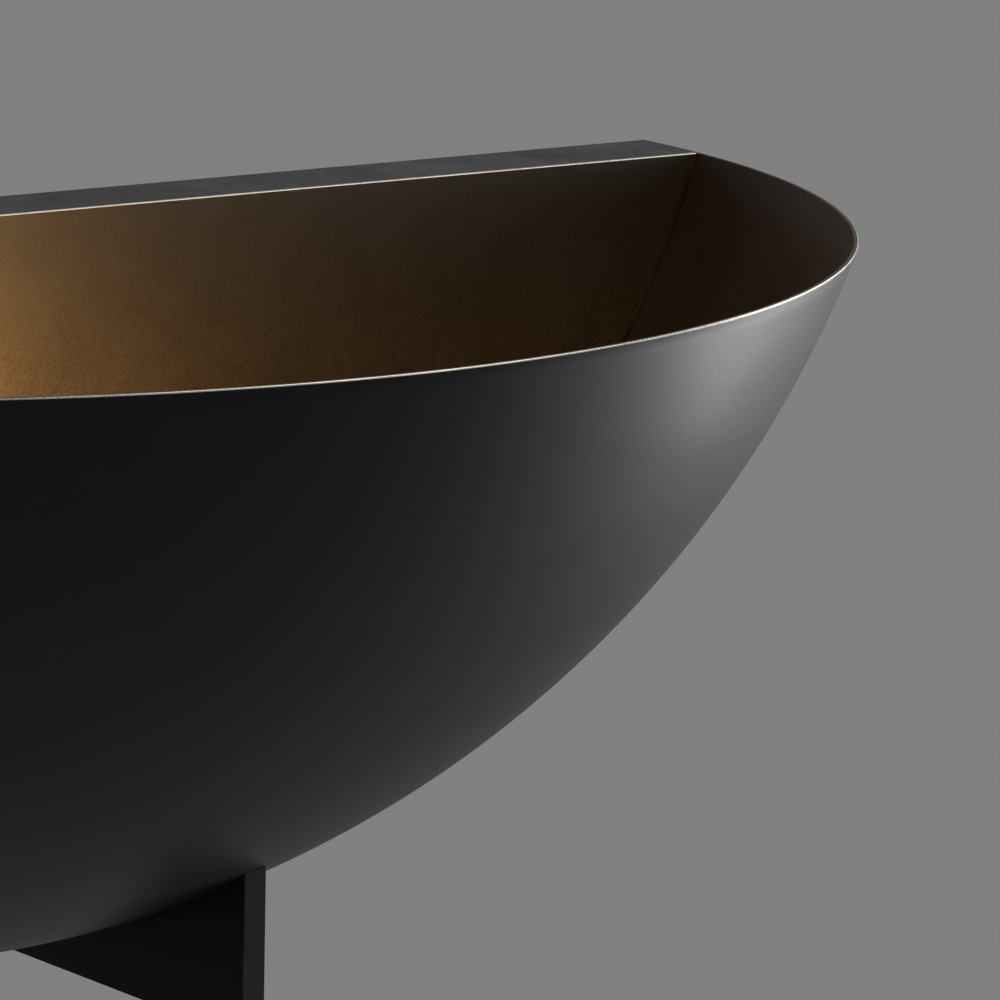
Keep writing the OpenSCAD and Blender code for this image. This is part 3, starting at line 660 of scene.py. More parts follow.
def row(name: str, points: Iterable[Place]) -> Piece:
    """Makes an object whose mesh is a row of points joined by edges.

    Args:
        name: name of the object.
        points: the points, in metres.

    Returns:
        The object.
    """
    spots, mesh = list(points), bpy.data.meshes.new(name)
    mesh.from_pydata(spots, [(k, k + 1) for k in range(len(spots) - 1)], [])
    return placed(name, mesh)


def worked(name: str, shape: bmesh.types.BMesh, *finishes: Finish) -> Piece:
    """Makes an object of a worked shape, which is used up.

    Args:
        name: name of the object.
        shape: the shape.
        finishes: its finishes, in the order of its material numbers.

    Returns:
        The object.
    """
    mesh = bpy.data.meshes.new(name)
    shape.to_mesh(mesh)
    shape.free()
    for finish in finishes:
        mesh.materials.append(finish.material())
    return placed(name, mesh)


def settle(piece: Piece) -> None:
    """Replaces a piece's mesh by the evaluated one and drops its modifiers.

    Args:
        piece: the piece.
    """
    graph = bpy.context.evaluated_depsgraph_get()
    graph.update()
    made = bpy.data.meshes.new_from_object(piece.evaluated_get(graph), depsgraph=graph)
    piece.modifiers.clear()
    piece.data = made
    made.name = piece.name


def form(piece: Piece, tree: Tree, finish: Finish, values: dict[str, object]) -> None:
    """Runs a geometry tree on a piece and keeps the result as its plain mesh.

    Args:
        piece: object that holds the tree's starting points.
        tree: the geometry tree.
        finish: finish of the result.
        values: the tree's other inputs by name.
    """
    modifier = piece.modifiers.new(tree.name, "NODES")
    modifier.node_group = tree
    values = {"Material": finish.material(), **values}
    for item in tree.interface.items_tree:
        if item.in_out == "INPUT" and item.name in values:
            modifier[item.identifier] = values[item.name]
    settle(piece)


def smooth(piece: Piece, crease: Crease, weighted: bool = False) -> Piece:
    """Turns the faces outwards and shades them smooth.

    Args:
        piece: the piece.
        crease: says which edges stay crisp.
        weighted: True lets large faces keep flat shading beside bevels.

    Returns:
        The same piece.
    """
    mesh, shape = piece.data, bmesh.new()
    shape.from_mesh(mesh)
    if shape.calc_volume(signed=True) < 0.0:
        bmesh.ops.reverse_faces(shape, faces=shape.faces)
    shape.to_mesh(mesh)
    shape.free()
    mesh.shade_smooth()
    mesh.set_sharp_from_angle(angle=math.radians(crease.value))
    if weighted:
        piece.modifiers.new("weighted", "WEIGHTED_NORMAL").keep_sharp = True
        settle(piece)
    return piece


def dress(piece: Piece, finish: Finish, chosen: Callable[[Face], bool]) -> Piece:
    """Gives some faces of a piece a further finish.

    Args:
        piece: the piece.
        finish: the finish.
        chosen: says for a face whether it gets the finish.

    Returns:
        The same piece.
    """
    piece.data.materials.append(finish.material())
    for face in filter(chosen, piece.data.polygons):
        face.material_index = len(piece.data.materials) - 1
    return piece


def turned(name: str, profile: Profile, finish: Finish, place: Place = ORIGIN,
           facing: Facing = Facing.ROOM, step: float = 0.0, **values: float) -> Piece:
    """Turns a profile about its axis.

    Args:
        name: name of the piece.
        profile: radius and height of each point, down the outside and up the inside.
        finish: its finish.
        place: where the axis starts.
        facing: where the axis points.
        step: distance along the wall from one copy to the next.
        values: further inputs of the tree, their names in lower case with low lines.

    Returns:
        The piece.
    """
    piece = row(name, ((radius * MM, 0.0, height * MM) for radius, height in profile))
    form(piece, turned_row(), finish, {
        "First": metres(place), "Stride": metres((step, 0.0, 0.0)), "Turn": (facing.value, 0.0, 0.0),
        **{key.replace("_", " ").title(): value * (1 if key in PLAIN_INPUTS else MM)
           for key, value in values.items()}})
    return smooth(piece, Crease.TURNED)


def tube(name: str, points: Iterable[Place], radius: float, finish: Finish, sides: int = 14,
         resolution: int = 8) -> Piece:
    """Runs a round tube along points.

    Args:
        name: name of the piece.
        points: the points.
        radius: radius of the tube.
        finish: its finish.
        sides: sides of the tube.
        resolution: rings between two points.

    Returns:
        The piece.
    """
    piece = row(name, (Vector(point) * MM for point in points))
    form(piece, round_tube(), finish, {"Radius": radius * MM, "Sides": sides, "Resolution": resolution})
    return smooth(piece, Crease.ROUND)


def softened(node: str, finish: Finish, bevel: float, sharp: float = 28.0) -> Piece:
    """Copies a CAD solid, rounds its sharp edges and marks them for wear.

    Args:
        node: name of the CAD node.
        finish: finish of the piece.
        bevel: width of the bevel.
        sharp: edges above this angle, in degrees, are rounded.

    Returns:
        The piece.
    """
    shape = bmesh.new()
    shape.from_mesh(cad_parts[node].data)
    bmesh.ops.remove_doubles(shape, verts=shape.verts, dist=2 * MERGE)
    bmesh.ops.dissolve_limit(shape, angle_limit=math.radians(0.8), verts=shape.verts, edges=shape.edges)
    edge = shape.faces.layers.float.new("edge")
    edges = [e for e in shape.edges if len(e.link_faces) == 2
             and e.calc_face_angle(0.0) > math.radians(sharp)]
    made = bmesh.ops.bevel(shape, geom=edges, offset=bevel * MM, offset_type="OFFSET", segments=2,
                           profile=0.5, affect="EDGES", clamp_overlap=True, material=-1)
    for face in made["faces"]:
        face[edge] = 1.0
    for face in shape.faces:
        face.material_index = 0
    return smooth(worked(node + "_dressed", shape, finish), Crease.BEVELLED, weighted=True)


def joined(name: str, *pieces: Piece) -> Piece:
    """Joins pieces into one.

    Args:
        name: name of the result.
        pieces: the pieces, of which the first is kept.

    Returns:
        The joined piece.
    """
    with bpy.context.temp_override(active_object=pieces[0], selected_editable_objects=list(pieces)):
        bpy.ops.object.join()
    pieces[0].name = pieces[0].data.name = name
    return pieces[0]


@dataclass(frozen=True)
class Ball:
    """The sphere that the bowl is a part of."""

    rim_radius: float = 250.0
    depth: float = 177.0
    rim_height: float = 88.0
    sheet: float = 1.2

    @property
    def radius(self) -> float:
        """Radius of the outer face."""
        return (self.rim_radius ** 2 + self.depth ** 2) / (2 * self.depth)

    @property
    def inner(self) -> float:
        """Radius of the inner face."""
        return self.radius - self.sheet

    @property
    def height(self) -> float:
        """Height of the centre."""
        return self.rim_height - self.depth + self.radius

    def meridian(self, radius: float, angles: Iterable[float]) -> Profile:
        """Gives points of a meridian at angles from its lowest point, in radians."""
        return [(radius * math.sin(a), self.height - radius * math.cos(a)) for a in angles]

    def arc(self, radius: float, axis: int, offset: float, low: float, high: float,
            steps: int) -> list[Place]:
        """Gives points where a plane cuts a sphere about this centre.

        Args:
            radius: radius of the sphere.
            axis: 0 for a plane square to X, 1 for one square to Y.
            offset: place of the plane on that axis.
            low: angle from the lowest point at which the arc starts, in degrees.
            high: angle at which it ends.
            steps: number of steps.

        Returns:
            The points.
        """
        flat = math.sqrt(radius ** 2 - offset ** 2)
        spots = self.meridian(flat, map(math.radians, spaced(low, high, steps)))
        return [(offset, -across, up) if axis == 0 else (across, offset, up) for across, up in spots]


@dataclass
class SubAssembly:
    """What the sub-assemblies share: their body, common measures and how pieces are handed over."""

    body: Body = Body.SCONCE
    panel_front: float = 25.5
    panel_back: float = 24.3
    web: float = 11.5
    lamp: float = 24.0
    earth_stud: tuple[float, float] = (-58.0, 6.0)

    def fit(self, piece: Piece, slot: str, *nodes: str, body: Body | None = None) -> None:
        """Sets a piece on its body and hides the CAD nodes that it stands for.

        Args:
            piece: the piece.
            slot: the record's material slot of its finish; not used.
            nodes: CAD nodes that it replaces.
            body: body that it moves with, where that isn't the sub-assembly's.
        """
        body = body or self.body
        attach(piece, body.value)
        if nodes:
            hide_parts(*nodes)
        log.info("%s rides on %s with %d faces", piece.name, body.value, len(piece.data.polygons))

    def fit_softened(self, node: str, finish: Finish, bevel: float, slot: str, sharp: float = 28.0,
                     body: Body | None = None) -> None:
        """Fits a CAD solid with its edges rounded."""
        self.fit(softened(node, finish, bevel, sharp), slot, node, body=body)


@dataclass
class Bowl(SubAssembly):
    """The spun bowl with its panel, strip and keel plates, all welded together."""

    ball: Ball = Ball()
    wall_gap: float = 0.5
    outer_round: float = 0.38
    inner_round: float = 0.12
    around: int = 264
    down: int = 92
    rim_slack: float = 0.02
    cut_slack: float = 0.01
    filed: float = 0.26
    screw_hole: float = 2.3
    screw_place: Place = (0.0, -11.0, -88.0)
    drill_length: float = 10.0
    bead: float = 0.32
    bead_sink: float = 0.25
    bead_lift: float = 0.1
    bead_short: float = 1.5
    seam_drop: float = 0.4
    keel_beads: tuple[float, ...] = (-46.1, -39.9, 39.9, 46.1)
    keel_reach: float = 129.0
    tacks: int = 23
    tack_size: Place = (0.9, 0.9, 4.2)
    tack_sink: float = 0.3
    tack_margin: float = 4.0

    def shell_profile(self) -> Profile:
        """Gives the bowl's closed section: down the outside, up the inside and over the rounded rim.

        Returns:
            Radius and height of each point.
        """
        ball, top = self.ball, self.ball.rim_height
        outer_end = math.acos((ball.height - top + self.outer_round) / ball.radius)
        inner_end = math.acos((ball.height - top + self.inner_round) / ball.inner)
        outer = ball.meridian(ball.radius, spaced(outer_end, 0.0, self.down))
        inner = ball.meridian(ball.inner, spaced(0.0, inner_end, self.down))
        rim = []
        for start, curve, angles in (
                (inner[-1][0], self.inner_round, spaced(0.0, math.pi / 2, 4)[1:]),
                (outer[0][0], -self.outer_round, spaced(math.pi / 2, 0.0, 4)[:-1])):
            rim += [(start + curve * (1.0 - math.cos(a)), top - abs(curve) * (1.0 - math.sin(a)))
                    for a in angles]
        return outer + inner + rim + [outer[0]]

    def bored(self, piece: Piece) -> None:
        """Closes the bowl's cut faces and bores the lock screw's hole.

        Args:
            piece: the bowl.
        """
        shape = bmesh.new()
        shape.from_mesh(piece.data)
        bmesh.ops.holes_fill(shape, edges=[e for e in shape.edges if e.is_boundary], sides=0)
        shape.to_mesh(piece.data)
        shape.free()
        shape, radius = bmesh.new(), self.screw_hole * MM
        bmesh.ops.create_cone(shape, cap_ends=True, segments=40, radius1=radius, radius2=radius,
                              depth=self.drill_length * MM,
                              matrix=Matrix.Translation(metres(self.screw_place)))
        drill, modifier = worked("drill", shape), piece.modifiers.new("hole", "BOOLEAN")
        modifier.operation, modifier.solver, modifier.object = "DIFFERENCE", "EXACT", drill
        settle(piece)
        bpy.data.objects.remove(drill)

    def shell(self) -> None:
        """Makes the bowl: black outside, brown inside, bare along the rim."""
        ball = self.ball
        piece = turned("spun_bowl", self.shell_profile(), BLACK_PATINA, facing=Facing.UP,
                       steps=self.around, sweep=math.pi, cut=self.wall_gap)
        self.bored(piece)
        centre, middle = Vector((0.0, 0.0, ball.height * MM)), (ball.radius + ball.inner) / 2 * MM
        top, bright = (ball.rim_height - self.rim_slack) * MM, (ball.rim_height - self.outer_round) * MM
        cut = -(self.wall_gap + self.cut_slack) * MM
        piece.data.materials.clear()
        dress(piece, BLACK_PATINA, lambda face: True)
        dress(piece, INNER_PATINA, lambda face: (face.center - centre).length <= middle and not (
            face.center.y > cut and abs(face.normal.y) > 0.9))
        dress(piece, RUBBED_EDGE, lambda face: face.center.z > top)
        dress(piece, BARE_EDGE, lambda face: bright < face.center.z <= top
              and (face.center - centre).length > middle)
        self.fit(smooth(piece, Crease.BOWL), "patinated_sheet", "bowl_shell")

    def seams(self) -> None:
        """Lays the ground weld beads along the panel and the keel plates, and tacks behind the panel."""
        ball = self.ball
        flat = math.sqrt(ball.inner ** 2 - self.panel_front ** 2)
        reach = math.degrees(math.acos((ball.height - ball.rim_height + self.seam_drop) / flat))
        front = ball.arc(ball.inner - self.bead_sink, 1, -self.panel_front - self.bead_sink,
                         -reach, reach, 120)
        self.fit(tube("panel_seam", front, self.bead, SEAM_BROWN_GLINTS, 12, 2), "panel_sheet")
        end = math.degrees(math.asin((self.keel_reach - self.bead_short) / ball.radius))
        beads = [tube(f"keel_seam_{number}", ball.arc(ball.radius + self.bead_lift, 0, x, 0.6, end, 48),
                      self.bead, SEAM_BROWN_GLINTS, 12, 2) for number, x in enumerate(self.keel_beads)]
        self.fit(joined("keel_seams", *beads), "keel_plate")
        reach -= self.tack_margin
        rear = ball.arc(ball.inner - self.tack_sink, 1, -self.panel_back + self.tack_sink,
                        -reach, reach, 160)
        tacks = row("panel_tacks", (Vector(point) * MM for point in rear))
        form(tacks, tack_welds(), WELD_GREY, {
            "Count": self.tacks, "Size": metres(self.tack_size), "Seed": 11})
        self.fit(smooth(tacks, Crease.ROUND), "panel_sheet")

    def build(self) -> None:
        """Makes every piece of the bowl; the panel's top is filed bare, the keels' fronts get painted
        light.
        """
        self.shell()
        filed = (self.ball.rim_height - self.filed) * MM
        panel = softened("back_panel", BROWN_PATINA, 0.25)
        self.fit(dress(panel, BARE_EDGE, lambda face: face.center.z > filed), "panel_sheet", "back_panel")
        self.fit_softened("top_strip", GREY_STRIP, 0.1, "strip_sheet")
        for node in ("keel_plate_left", "keel_plate_right"):
            keel = softened(node, KEEL_BLACK_SHADED, 0.15)
            # Painted light: the faces towards the room get the paler copy of the black.
            self.fit(dress(keel, KEEL_FRONT_LIT, lambda face: face.normal.y < -0.5), "keel_plate", node)
        self.seams()


@dataclass(frozen=True)
class Screw:
    """A slotted screw with a low domed head and a cut thread."""

    length: float
    radius: float = 2.0
    pitch: float = 0.7
    head_radius: float = 4.0
    head_height: float = 2.4
    point: float = 0.5
    taper: float = 0.45
    thread: float = 0.6
    slot_width: float = 0.25
    slot_floor: float = 0.6
    slot_length: float = 50.0

    def profile(self) -> Profile:
        """Gives the section from the top of the head to the end of the shank.

        Returns:
            Radius and height of each point.
        """
        dome = [(self.head_radius * (0.7 + 0.3 * math.cos(a)), self.head_height * (0.3 + 0.7 * math.sin(a)))
                for a in map(math.radians, range(90, -1, -6))]
        steps, end = max(2, math.ceil(self.length / self.pitch * 6)), self.point - self.length
        shank = [(self.radius, z) for z in spaced(0.0, -self.length, steps) if z > end]
        return [(0.0, self.head_height), *dome, (self.head_radius, 0.0), *shank, (self.radius, end),
                (self.radius - self.taper, -self.length), (0.0, -self.length)]

    def make(self, name: str, finish: Finish, place: Place, facing: Facing, count: int = 1,
             step: float = 0.0) -> Piece:
        """Makes a row of the screw.

        Args:
            name: name of the piece.
            finish: its finish.
            place: seat of the first screw's head.
            facing: where the heads point.
            count: number of screws.
            step: distance from one to the next.

        Returns:
            The piece.
        """
        return turned(
            name, self.profile(), finish, place, facing, step, count=count, steps=36, pitch=self.pitch,
            thread_depth=self.thread * self.pitch, thread_from=-self.length, thread_to=0.0,
            slot_width=self.slot_width * self.head_radius, slot_length=self.slot_length,
            slot_floor=self.slot_floor * self.head_height)


@dataclass(frozen=True)
class Nut:
    """A hexagonal nut with turned corners."""

    bore: float = 2.1
    corner: float = 4.04
    height: float = 3.2
    bevel: float = 0.2
    chamfer: float = 0.1

    def make(self, name: str, place: Place, count: int = 1, step: float = 0.0) -> Piece:
        """Makes a row of the nut, each standing on its place with its free face towards the wall.

        Args:
            name: name of the piece.
            place: place of the first nut.
            count: number of nuts.
            step: distance from one to the next.

        Returns:
            The piece.
        """
        flat, mouth = self.corner * math.cos(math.pi / 6), self.bore + self.bevel
        face, rise = flat - self.chamfer, (self.corner - flat + self.chamfer) * math.tan(math.pi / 6)
        profile = [(mouth, self.height), (face, self.height), (self.corner, self.height - rise),
                   (self.corner, rise), (face, 0.0), (mouth, 0.0), (self.bore, self.bevel),
                   (self.bore, self.height - self.bevel), (mouth, self.height)]
        return turned(name, profile, BRIGHT_SCREW, place, Facing.WALL, step, count=count, steps=60,
                      flats=flat)


@dataclass
class Hanging(SubAssembly):
    """Wall plate, hanger bar and the fasteners between them."""

    stud_line: float = 74.2
    stud_step: float = 48.0
    stud_length: float = 8.0
    stud_radius: float = 2.0
    stud_point: float = 0.4
    bar: float = 2.0
    ring: float = 0.8
    plate_earth: Place = (22.0, -2.0, -34.0)
    lock_seat: Place = (0.0, -11.0, -89.18)

    def studs(self) -> Piece:
        """Makes the four threaded studs on the panel.

        Returns:
            The piece.
        """
        end, radius, point = self.stud_length, self.stud_radius, self.stud_point
        shank = [(radius, z) for z in spaced(end - point, 0.0, 60)]
        profile = [(0.0, end), (radius - point, end), *shank, (0.0, 0.0)]
        thread = {"steps": 28, "pitch": 0.7, "thread_depth": 0.35, "thread_from": point, "thread_to": end}
        x, z = self.earth_stud
        return joined("threaded_studs", *(
            turned(name, profile, BRIGHT_SCREW, place, Facing.WALL, self.stud_step, count=count, **thread)
            for name, place, count in (
                ("studs", (-self.stud_step, -self.panel_back, self.stud_line), 3),
                ("earth_stud", (x, -self.panel_back, z), 1))))

    def build(self) -> None:
        """Makes every piece of the hanging."""
        self.fit_softened("wall_plate", ZINC, 0.3, "zinc_steel", body=Body.WALL)
        self.fit_softened("hanger_bar", ZINC, 0.3, "zinc_steel")
        earth = Screw(length=2.0).make(
            "earth_terminal_screw", EARTH_SCREW, self.plate_earth, Facing.ROOM)
        self.fit(earth, "earth_screw", "plate_earth_screw", body=Body.WALL)
        self.fit(self.studs(), "zinc_steel", "panel_studs")
        bar_seat, (x, z) = (-self.stud_step, self.bar - self.panel_back, self.stud_line), self.earth_stud
        nuts = joined("hexagon_nuts", Nut().make("bar_nuts", bar_seat, 3, self.stud_step),
                      Nut().make("earth_nut", (x, self.ring - self.panel_back, z)))
        self.fit(nuts, "zinc_steel", "stud_nuts")
        lock = Screw(length=31.1, head_height=2.2).make(
            "slotted_lock_screw", BLACK_SCREW, self.lock_seat, Facing.DOWN)
        self.fit(lock, "black_screw", "lock_screw", body=Body.LOCK)


@dataclass
class Lampholder(SubAssembly):
    """Bracket, ceramic holder and its metal parts on the lamp's axis."""

    floor: float = 12.0
    shell_length: float = 27.0
    bracket_half: float = 37.0
    bracket_sheet: float = 1.5
    holder_half: float = 12.0
    terminal_half: float = 8.0
    screw_reach: float = 5.0
    screw_drop: float = -20.0

    def at(self, x: float, distance: float, drop: float = 0.0) -> Place:
        """Gives the place at a distance from the panel's front face."""
        return (x, -self.panel_front - distance, self.lamp + drop)

    def socket(self) -> Piece:
        """Makes the rolled screw shell.

        Returns:
            The piece.
        """
        outside = [(14.1, z) for z in spaced(self.shell_length, 0.0, 96)]
        inside = [(13.85, z) for z in spaced(0.0, self.shell_length, 96)]
        return turned("rolled_screw_shell", [*outside, *inside, outside[0]], BRASS,
                      self.at(0.0, self.web + self.floor), steps=96, pitch=3.6, thread_depth=0.45,
                      thread_from=1.0, thread_to=26.0, rolled=1.0)

    def build(self) -> None:
        """Makes every piece of the lampholder."""
        bracket, holder, terminal = self.bracket_half, self.holder_half, self.terminal_half
        self.fit_softened("holder_bracket", ZINC, 0.25, "zinc_steel")
        screws = Screw(length=6.9).make(
            "bracket_screw_pair", BRIGHT_SCREW, self.at(-bracket, self.bracket_sheet), Facing.ROOM, 2,
            2 * bracket)
        self.fit(screws, "zinc_steel", "bracket_screws")
        nuts = Nut().make("bracket_nut_pair", (-bracket, -self.panel_back, self.lamp), 2, 2 * bracket)
        self.fit(nuts, "zinc_steel", "bracket_nuts")
        self.fit_softened("lampholder_body", CERAMIC, 0.3, "ceramic", 40.0)
        screws = Screw(length=7.5, radius=1.5, pitch=0.5, head_radius=3.0, head_height=2.0).make(
            "holder_screw_pair", BRIGHT_SCREW, self.at(-holder, self.web - self.bracket_sheet),
            Facing.WALL, 2, 2 * holder)
        self.fit(screws, "zinc_steel", "holder_screws")
        self.fit(self.socket(), "brass", "screw_shell")
        self.fit_softened("centre_contact", BRASS, 0.12, "brass")
        self.fit_softened("terminals", BRASS, 0.25, "brass")
        screws = Screw(length=2.6, radius=1.4, pitch=0.5, head_radius=2.52, head_height=1.6).make(
            "terminal_screw_pair", BRASS, self.at(-terminal, self.web + self.screw_reach, self.screw_drop),
            Facing.DOWN, 2, 2 * terminal)
        self.fit(screws, "brass", "terminal_screws")


@dataclass
class Wiring(SubAssembly):
    """Leads, grommet, ring and connectors behind and through the panel."""

    grommet: float = -2.0
    mouth: float = -24.0
    middle: float = 13.15
    sleeve: float = 1.2
    bore_half: float = 1.5
    ring_barrel: float = -5.6
    ring_depth: float = 22.7
    terminal: tuple[float, float] = (8.0, 8.0)
    connector_places: tuple[float, ...] = (-20.0, 20.0, -44.0)

    def lead_route(self, side: float) -> list[Place]:
        """Gives a lead's way from its terminal through the grommet to its connector.

        Args:
            side: -1 for the live lead, 1 for the neutral one.

        Returns:
            The points of the way.
        """
        x, z, bore = side * self.terminal[0], self.terminal[1], side * self.bore_half
        end = side * self.connector_places[1]
        front, back, mid, eye, mouth = (self.panel_front, self.panel_back, self.middle, self.grommet,
                                        self.mouth)
        start = front + self.web
        return [(x, -start - 5.0, z), (x, -start - 0.5, z), (x, -start + 1.0, z),
                (x, -start + 4.0, z - 1.2), (0.55 * x, -front - 5.0, (z + eye) / 2 - 2.0),
                (bore, -front - 1.0, eye), (bore, -back + 1.0, eye),
                (bore + side * 2.5, -back + 5.0, eye - 1.6), (0.55 * end, -mid - 1.5, eye - 8.0),
                (0.96 * end, -mid, mouth + 6.0), (end, -mid, mouth + 3.0), (end, -mid, mouth - 1.0),
                (end, -mid, mouth - 9.0)]

    def earth_route(self) -> list[Place]:
        """Gives the earth lead's way from its ring to its connector.

        Returns:
            The points of the way.
        """
        x, barrel, ring = self.earth_stud[0], self.ring_barrel, self.ring_depth
        mid, mouth, end = self.middle, self.mouth, self.connector_places[2]
        return [(x, -ring, barrel + 5.0), (x, -ring, barrel), (x, -ring + 0.2, barrel - 2.0),
                (x + 4.0, -mid - 2.0, mouth + 9.0), (end - 1.5, -mid, mouth + 7.0),
                (end, -mid, mouth + 3.0), (end, -mid, mouth - 1.0), (end, -mid, mouth - 9.0)]

    def connector(self, x: float) -> Piece:
        """Makes one twist-on connector with a fluted grip and two wings.

        Args:
            x: its place along the wall.

        Returns:
            The piece, its mouth upwards.
        """
        grip = [(6.0, z) for z in spaced(-0.8, -8.4, 24)]
        crown = list(zip(spaced(6.0, 3.8, 14), spaced(-8.4, -22.0, 14)))[1:]
        profile = [(5.5, 0.0), *grip, *crown, (3.3, -22.8), (2.6, -23.0), (0.0, -23.0), (0.0, -9.0),
                   (1.3, -9.0), (1.3, -3.0), (2.2, -3.0), (2.2, 0.0), (5.5, 0.0)]
        body = turned(f"connector_{x:.0f}", profile, ORANGE_PLASTIC, (x, -self.middle, self.mouth),
                      Facing.UP, steps=120, pitch=2.0, flutes=20.0, flute_depth=0.22, thread_from=-21.0,
                      thread_to=0.2)
        shape = bmesh.new()
        for side in (-1.0, 1.0):
            for vertex in bmesh.ops.create_cube(shape, size=1.0)["verts"]:
                reach, drop = (1.6, 1.0) if vertex.co.z > 0.0 else (0.9, 9.05)
                vertex.co = Vector((x + side * (5.6 + (vertex.co.x * side + 0.5) * reach),
                                    -self.middle + vertex.co.y * 1.6, self.mouth - drop)) * MM
        bmesh.ops.recalc_face_normals(shape, faces=shape.faces)
        bmesh.ops.bevel(shape, geom=list(shape.edges), offset=0.3 * MM, segments=2, profile=0.5,
                        affect="EDGES", clamp_overlap=True)
        return joined(body.name, body, smooth(worked("wings", shape, ORANGE_PLASTIC), Crease.BEVELLED))

    def build(self) -> None:
        """Makes every piece of the wiring."""
        profile = [(3.6, 1.0), (4.1, 1.5), (7.5, 1.5), (7.9, 1.5), (8.5, 0.9), (8.5, 0.0), (6.0, 0.0),
                   (6.0, -1.2), (8.5, -1.2), (8.5, -2.1), (8.1, -2.6), (7.5, -2.7), (4.1, -2.7),
                   (3.6, -2.2), (3.6, 1.0)]
        self.fit(turned("rubber_grommet", profile, RUBBER, (0.0, -self.panel_back, self.grommet),
                        Facing.WALL, steps=64), "rubber", "grommet")
        for name, route, finish in (("live", self.lead_route(-1.0), BLACK_SLEEVE),
                                    ("neutral", self.lead_route(1.0), WHITE_SLEEVE),
                                    ("earth", self.earth_route(), GREEN_SLEEVE)):
            self.fit(tube(f"{name}_wire", route, self.sleeve, finish), f"{name}_sleeve", f"{name}_lead")
        self.fit_softened("earth_ring", BRIGHT_SCREW, 0.12, "zinc_steel")
        self.fit(joined("twist_connectors", *map(self.connector, self.connector_places)),
                 "connector_plastic", "wire_connectors")


@dataclass
class Bulb(SubAssembly):
    """The lit bulb, on the lamp's axis with its contact at the seat."""

    body: Body = Body.BULB
    seat: float = 51.9
    head: float = 30.0
    head_centre: float = 78.0
    neck: float = 12.6
    blend: float = 45.0
    glass: float = 0.8
    cap_start: float = 3.8
    cap_end: float = 26.8

    def outline(self, inset: float) -> Profile:
        """Gives the glass outline from the crown to the neck.

        Args:
            inset: distance inside the outer face.

        Returns:
            Radius and height of each point.
        """
        head, blend, neck = self.head - inset, self.blend + inset, self.neck - inset
        reach = math.sqrt((head + blend) ** 2 - (neck + blend) ** 2)
        lean = math.atan2(neck + blend, reach)
        dome = [(head * math.sin(a), self.head_centre + head * math.cos(a))
                for a in spaced(0.0, math.pi - lean, 60)]
        curve = [(neck + blend - blend * math.sin(a), self.head_centre - reach + blend * math.cos(a))
                 for a in spaced(lean, math.pi / 2, 24)[1:]]
        return dome + curve + [(neck, self.cap_end - 8.0)]

    def build(self) -> None:
        """Makes every piece of the bulb."""
        low, high = self.cap_start, self.cap_end
        outside = [(13.1, z) for z in spaced(high, low + 3.0, 96)]
        inside = [(12.6, z) for z in spaced(low + 3.2, high, 96)]
        cap = [*outside, (10.9, low), (10.4, low), (10.4, low + 0.5), *inside, outside[0]]
        insulator = [(0.0, 4.8), (10.3, 4.8), (10.4, 4.7), (10.4, 3.9), (10.2, 3.6), (6.0, 1.3),
                     (5.4, 1.2), (0.0, 1.2)]
        drop = [(0.0, 1.2), (4.6, 1.2), (4.5, 0.9), (4.1, 0.5), (3.4, 0.22), (2.4, 0.06), (1.2, 0.01),
                (0.0, 0.0)]
        thread = {"pitch": 3.6, "thread_depth": 0.75, "thread_from": low + 3.0, "thread_to": high - 1.5,
                  "rolled": 1.0}
        for name, profile, finish, steps, values, slot, node in (
                ("opal_envelope", self.outline(0.0) + self.outline(self.glass)[::-1], OPAL, 96, {},
                 "opal_glass", "bulb_glass"),
                ("rolled_cap", cap, NICKEL, 96, thread, "nickel_cap", "bulb_cap"),
                ("glass_insulator", insulator, BLACK_GLASS, 64, {}, "black_glass", "bulb_insulator"),
                ("soldered_contact", drop, SOLDER, 48, {}, "solder", "bulb_contact")):
            self.fit(turned(name, profile, finish, (0.0, -self.seat, self.lamp), steps=steps, **values),
                     slot, node)


@dataclass(frozen=True)
class Softbox:
    """A square softbox that faces the object; a radiance of 1 is white."""

    name: str
    place: Place
    size: float
    radiance: float
    target: Place = (0.05, -0.12, 0.0)

    def hang(self) -> None:
        """Hangs the lamp."""
        data = bpy.data.lights.new(self.name, "AREA")
        data.shape, data.size = "SQUARE", self.size
        data.energy = self.radiance * math.pi * self.size ** 2
        lamp = placed(self.name, data)
        lamp.location, lamp.rotation_mode, lamp.visible_camera = self.place, "QUATERNION", False
        lamp.rotation_quaternion = (Vector(self.target) - Vector(self.place)).to_track_quat("-Z", "Y")


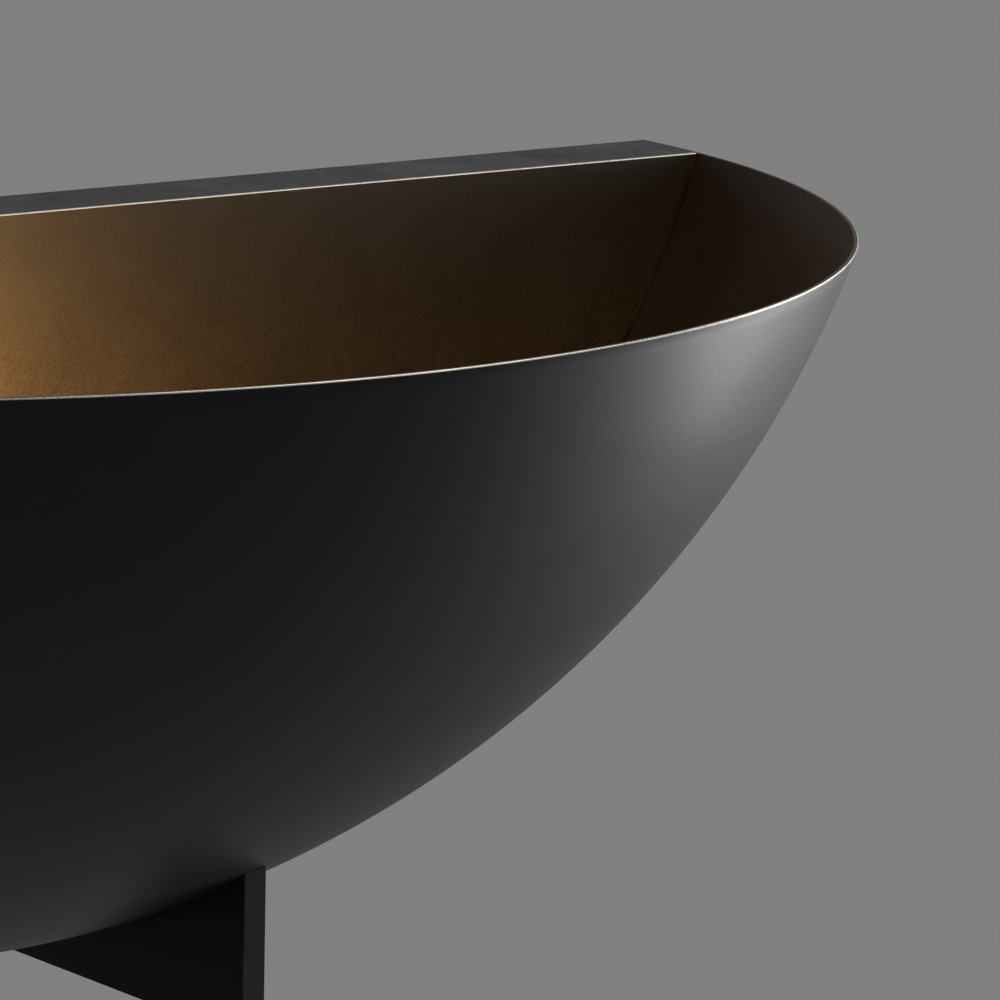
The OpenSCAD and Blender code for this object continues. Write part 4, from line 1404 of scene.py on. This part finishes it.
@dataclass
class Studio:
    """Floor, backdrop, lamps and camera."""

    floor_height: float = -3.3
    floor_half: float = 48.0
    pale: Colour = (0.81, 0.81, 0.813)
    darker: float = 0.985
    cloud_size: float = 0.8
    cloud_contrast: float = 0.3
    surround: Colour = (0.27, 0.27, 0.274)
    lamps: tuple[Softbox, ...] = (
        Softbox("side_box", (1.46, -0.11, -0.37), 0.56, 9.3),
        Softbox("top_box", (0.85, -0.30, 1.30), 0.9, 2.15),
        Softbox("rear_box", (1.38, 0.28, 0.62), 0.55, 3.6),
        Softbox("front_box", (1.43, -2.02, 0.38), 0.8, 0.85))
    eye: Place = (-0.968601, -1.591512, 0.381126)
    yaw: float = 0.6359507
    pitch: float = 0.1912770
    roll: float = 0.0203405
    sensor: float = 36.0
    lens: float = 36.0 * 7.8906
    clip: tuple[float, float] = (0.05, 100.0)

    def floor(self) -> None:
        """Lays the plain pale floor."""
        mesh, made = bpy.data.meshes.new("floor"), bpy.data.materials.new("pale_floor")
        h, z = self.floor_half, self.floor_height
        mesh.from_pydata([(-h, -h, z), (h, -h, z), (h, h, z), (-h, h, z)], [], [(0, 1, 2, 3)])
        sheet = NodeSheet.material(made)
        mask = sheet.use(patina_clouds(), {
            "Vector": sheet.place, "Size": self.cloud_size, "Contrast": self.cloud_contrast})
        body = sheet.blend(mask, tuple(part * self.darker for part in self.pale), self.pale)
        sheet.feed(sheet.shader, {"Base Color": body, "Roughness": 0.9, "Specular IOR Level": 0.1})
        mesh.materials.append(made)
        placed("floor", mesh)

    def world(self) -> None:
        """Sets the plain surround."""
        world = bpy.context.scene.world = bpy.data.worlds.new("surround")
        world.use_nodes = True
        world.node_tree.nodes["Background"].inputs["Color"].default_value = (*self.surround, 1.0)

    def camera(self) -> None:
        """Places the camera at the picture's viewing angle."""
        forward = Vector((math.sin(self.yaw) * math.cos(self.pitch),
                          math.cos(self.yaw) * math.cos(self.pitch), -math.sin(self.pitch)))
        right = Vector((math.cos(self.yaw), -math.sin(self.yaw), 0.0))
        up = right.cross(forward)
        c, s = math.cos(self.roll), math.sin(self.roll)
        turn = Matrix((c * right + s * up, -s * right + c * up, -forward)).transposed().to_4x4()
        data = bpy.data.cameras.new("camera")
        data.sensor_width, data.lens = self.sensor, self.lens
        data.clip_start, data.clip_end = self.clip
        camera = placed("camera", data)
        camera.matrix_world = Matrix.Translation(self.eye) @ turn
        bpy.context.scene.camera = camera

    def build(self) -> None:
        """Sets up the whole studio."""
        self.camera()
        self.floor()
        self.world()
        for lamp in self.lamps:
            lamp.hang()
        bpy.context.scene.view_settings.view_transform = "Standard"


def main() -> None:
    """Builds the sub-assemblies in order."""
    logging.basicConfig(level=logging.INFO, format="%(message)s")
    for part in (Studio(), Bowl(), Hanging(), Lampholder(), Wiring(), Bulb()):
        log.info("building %s", type(part).__name__)
        part.build()


if __name__ == "__main__":
    main()
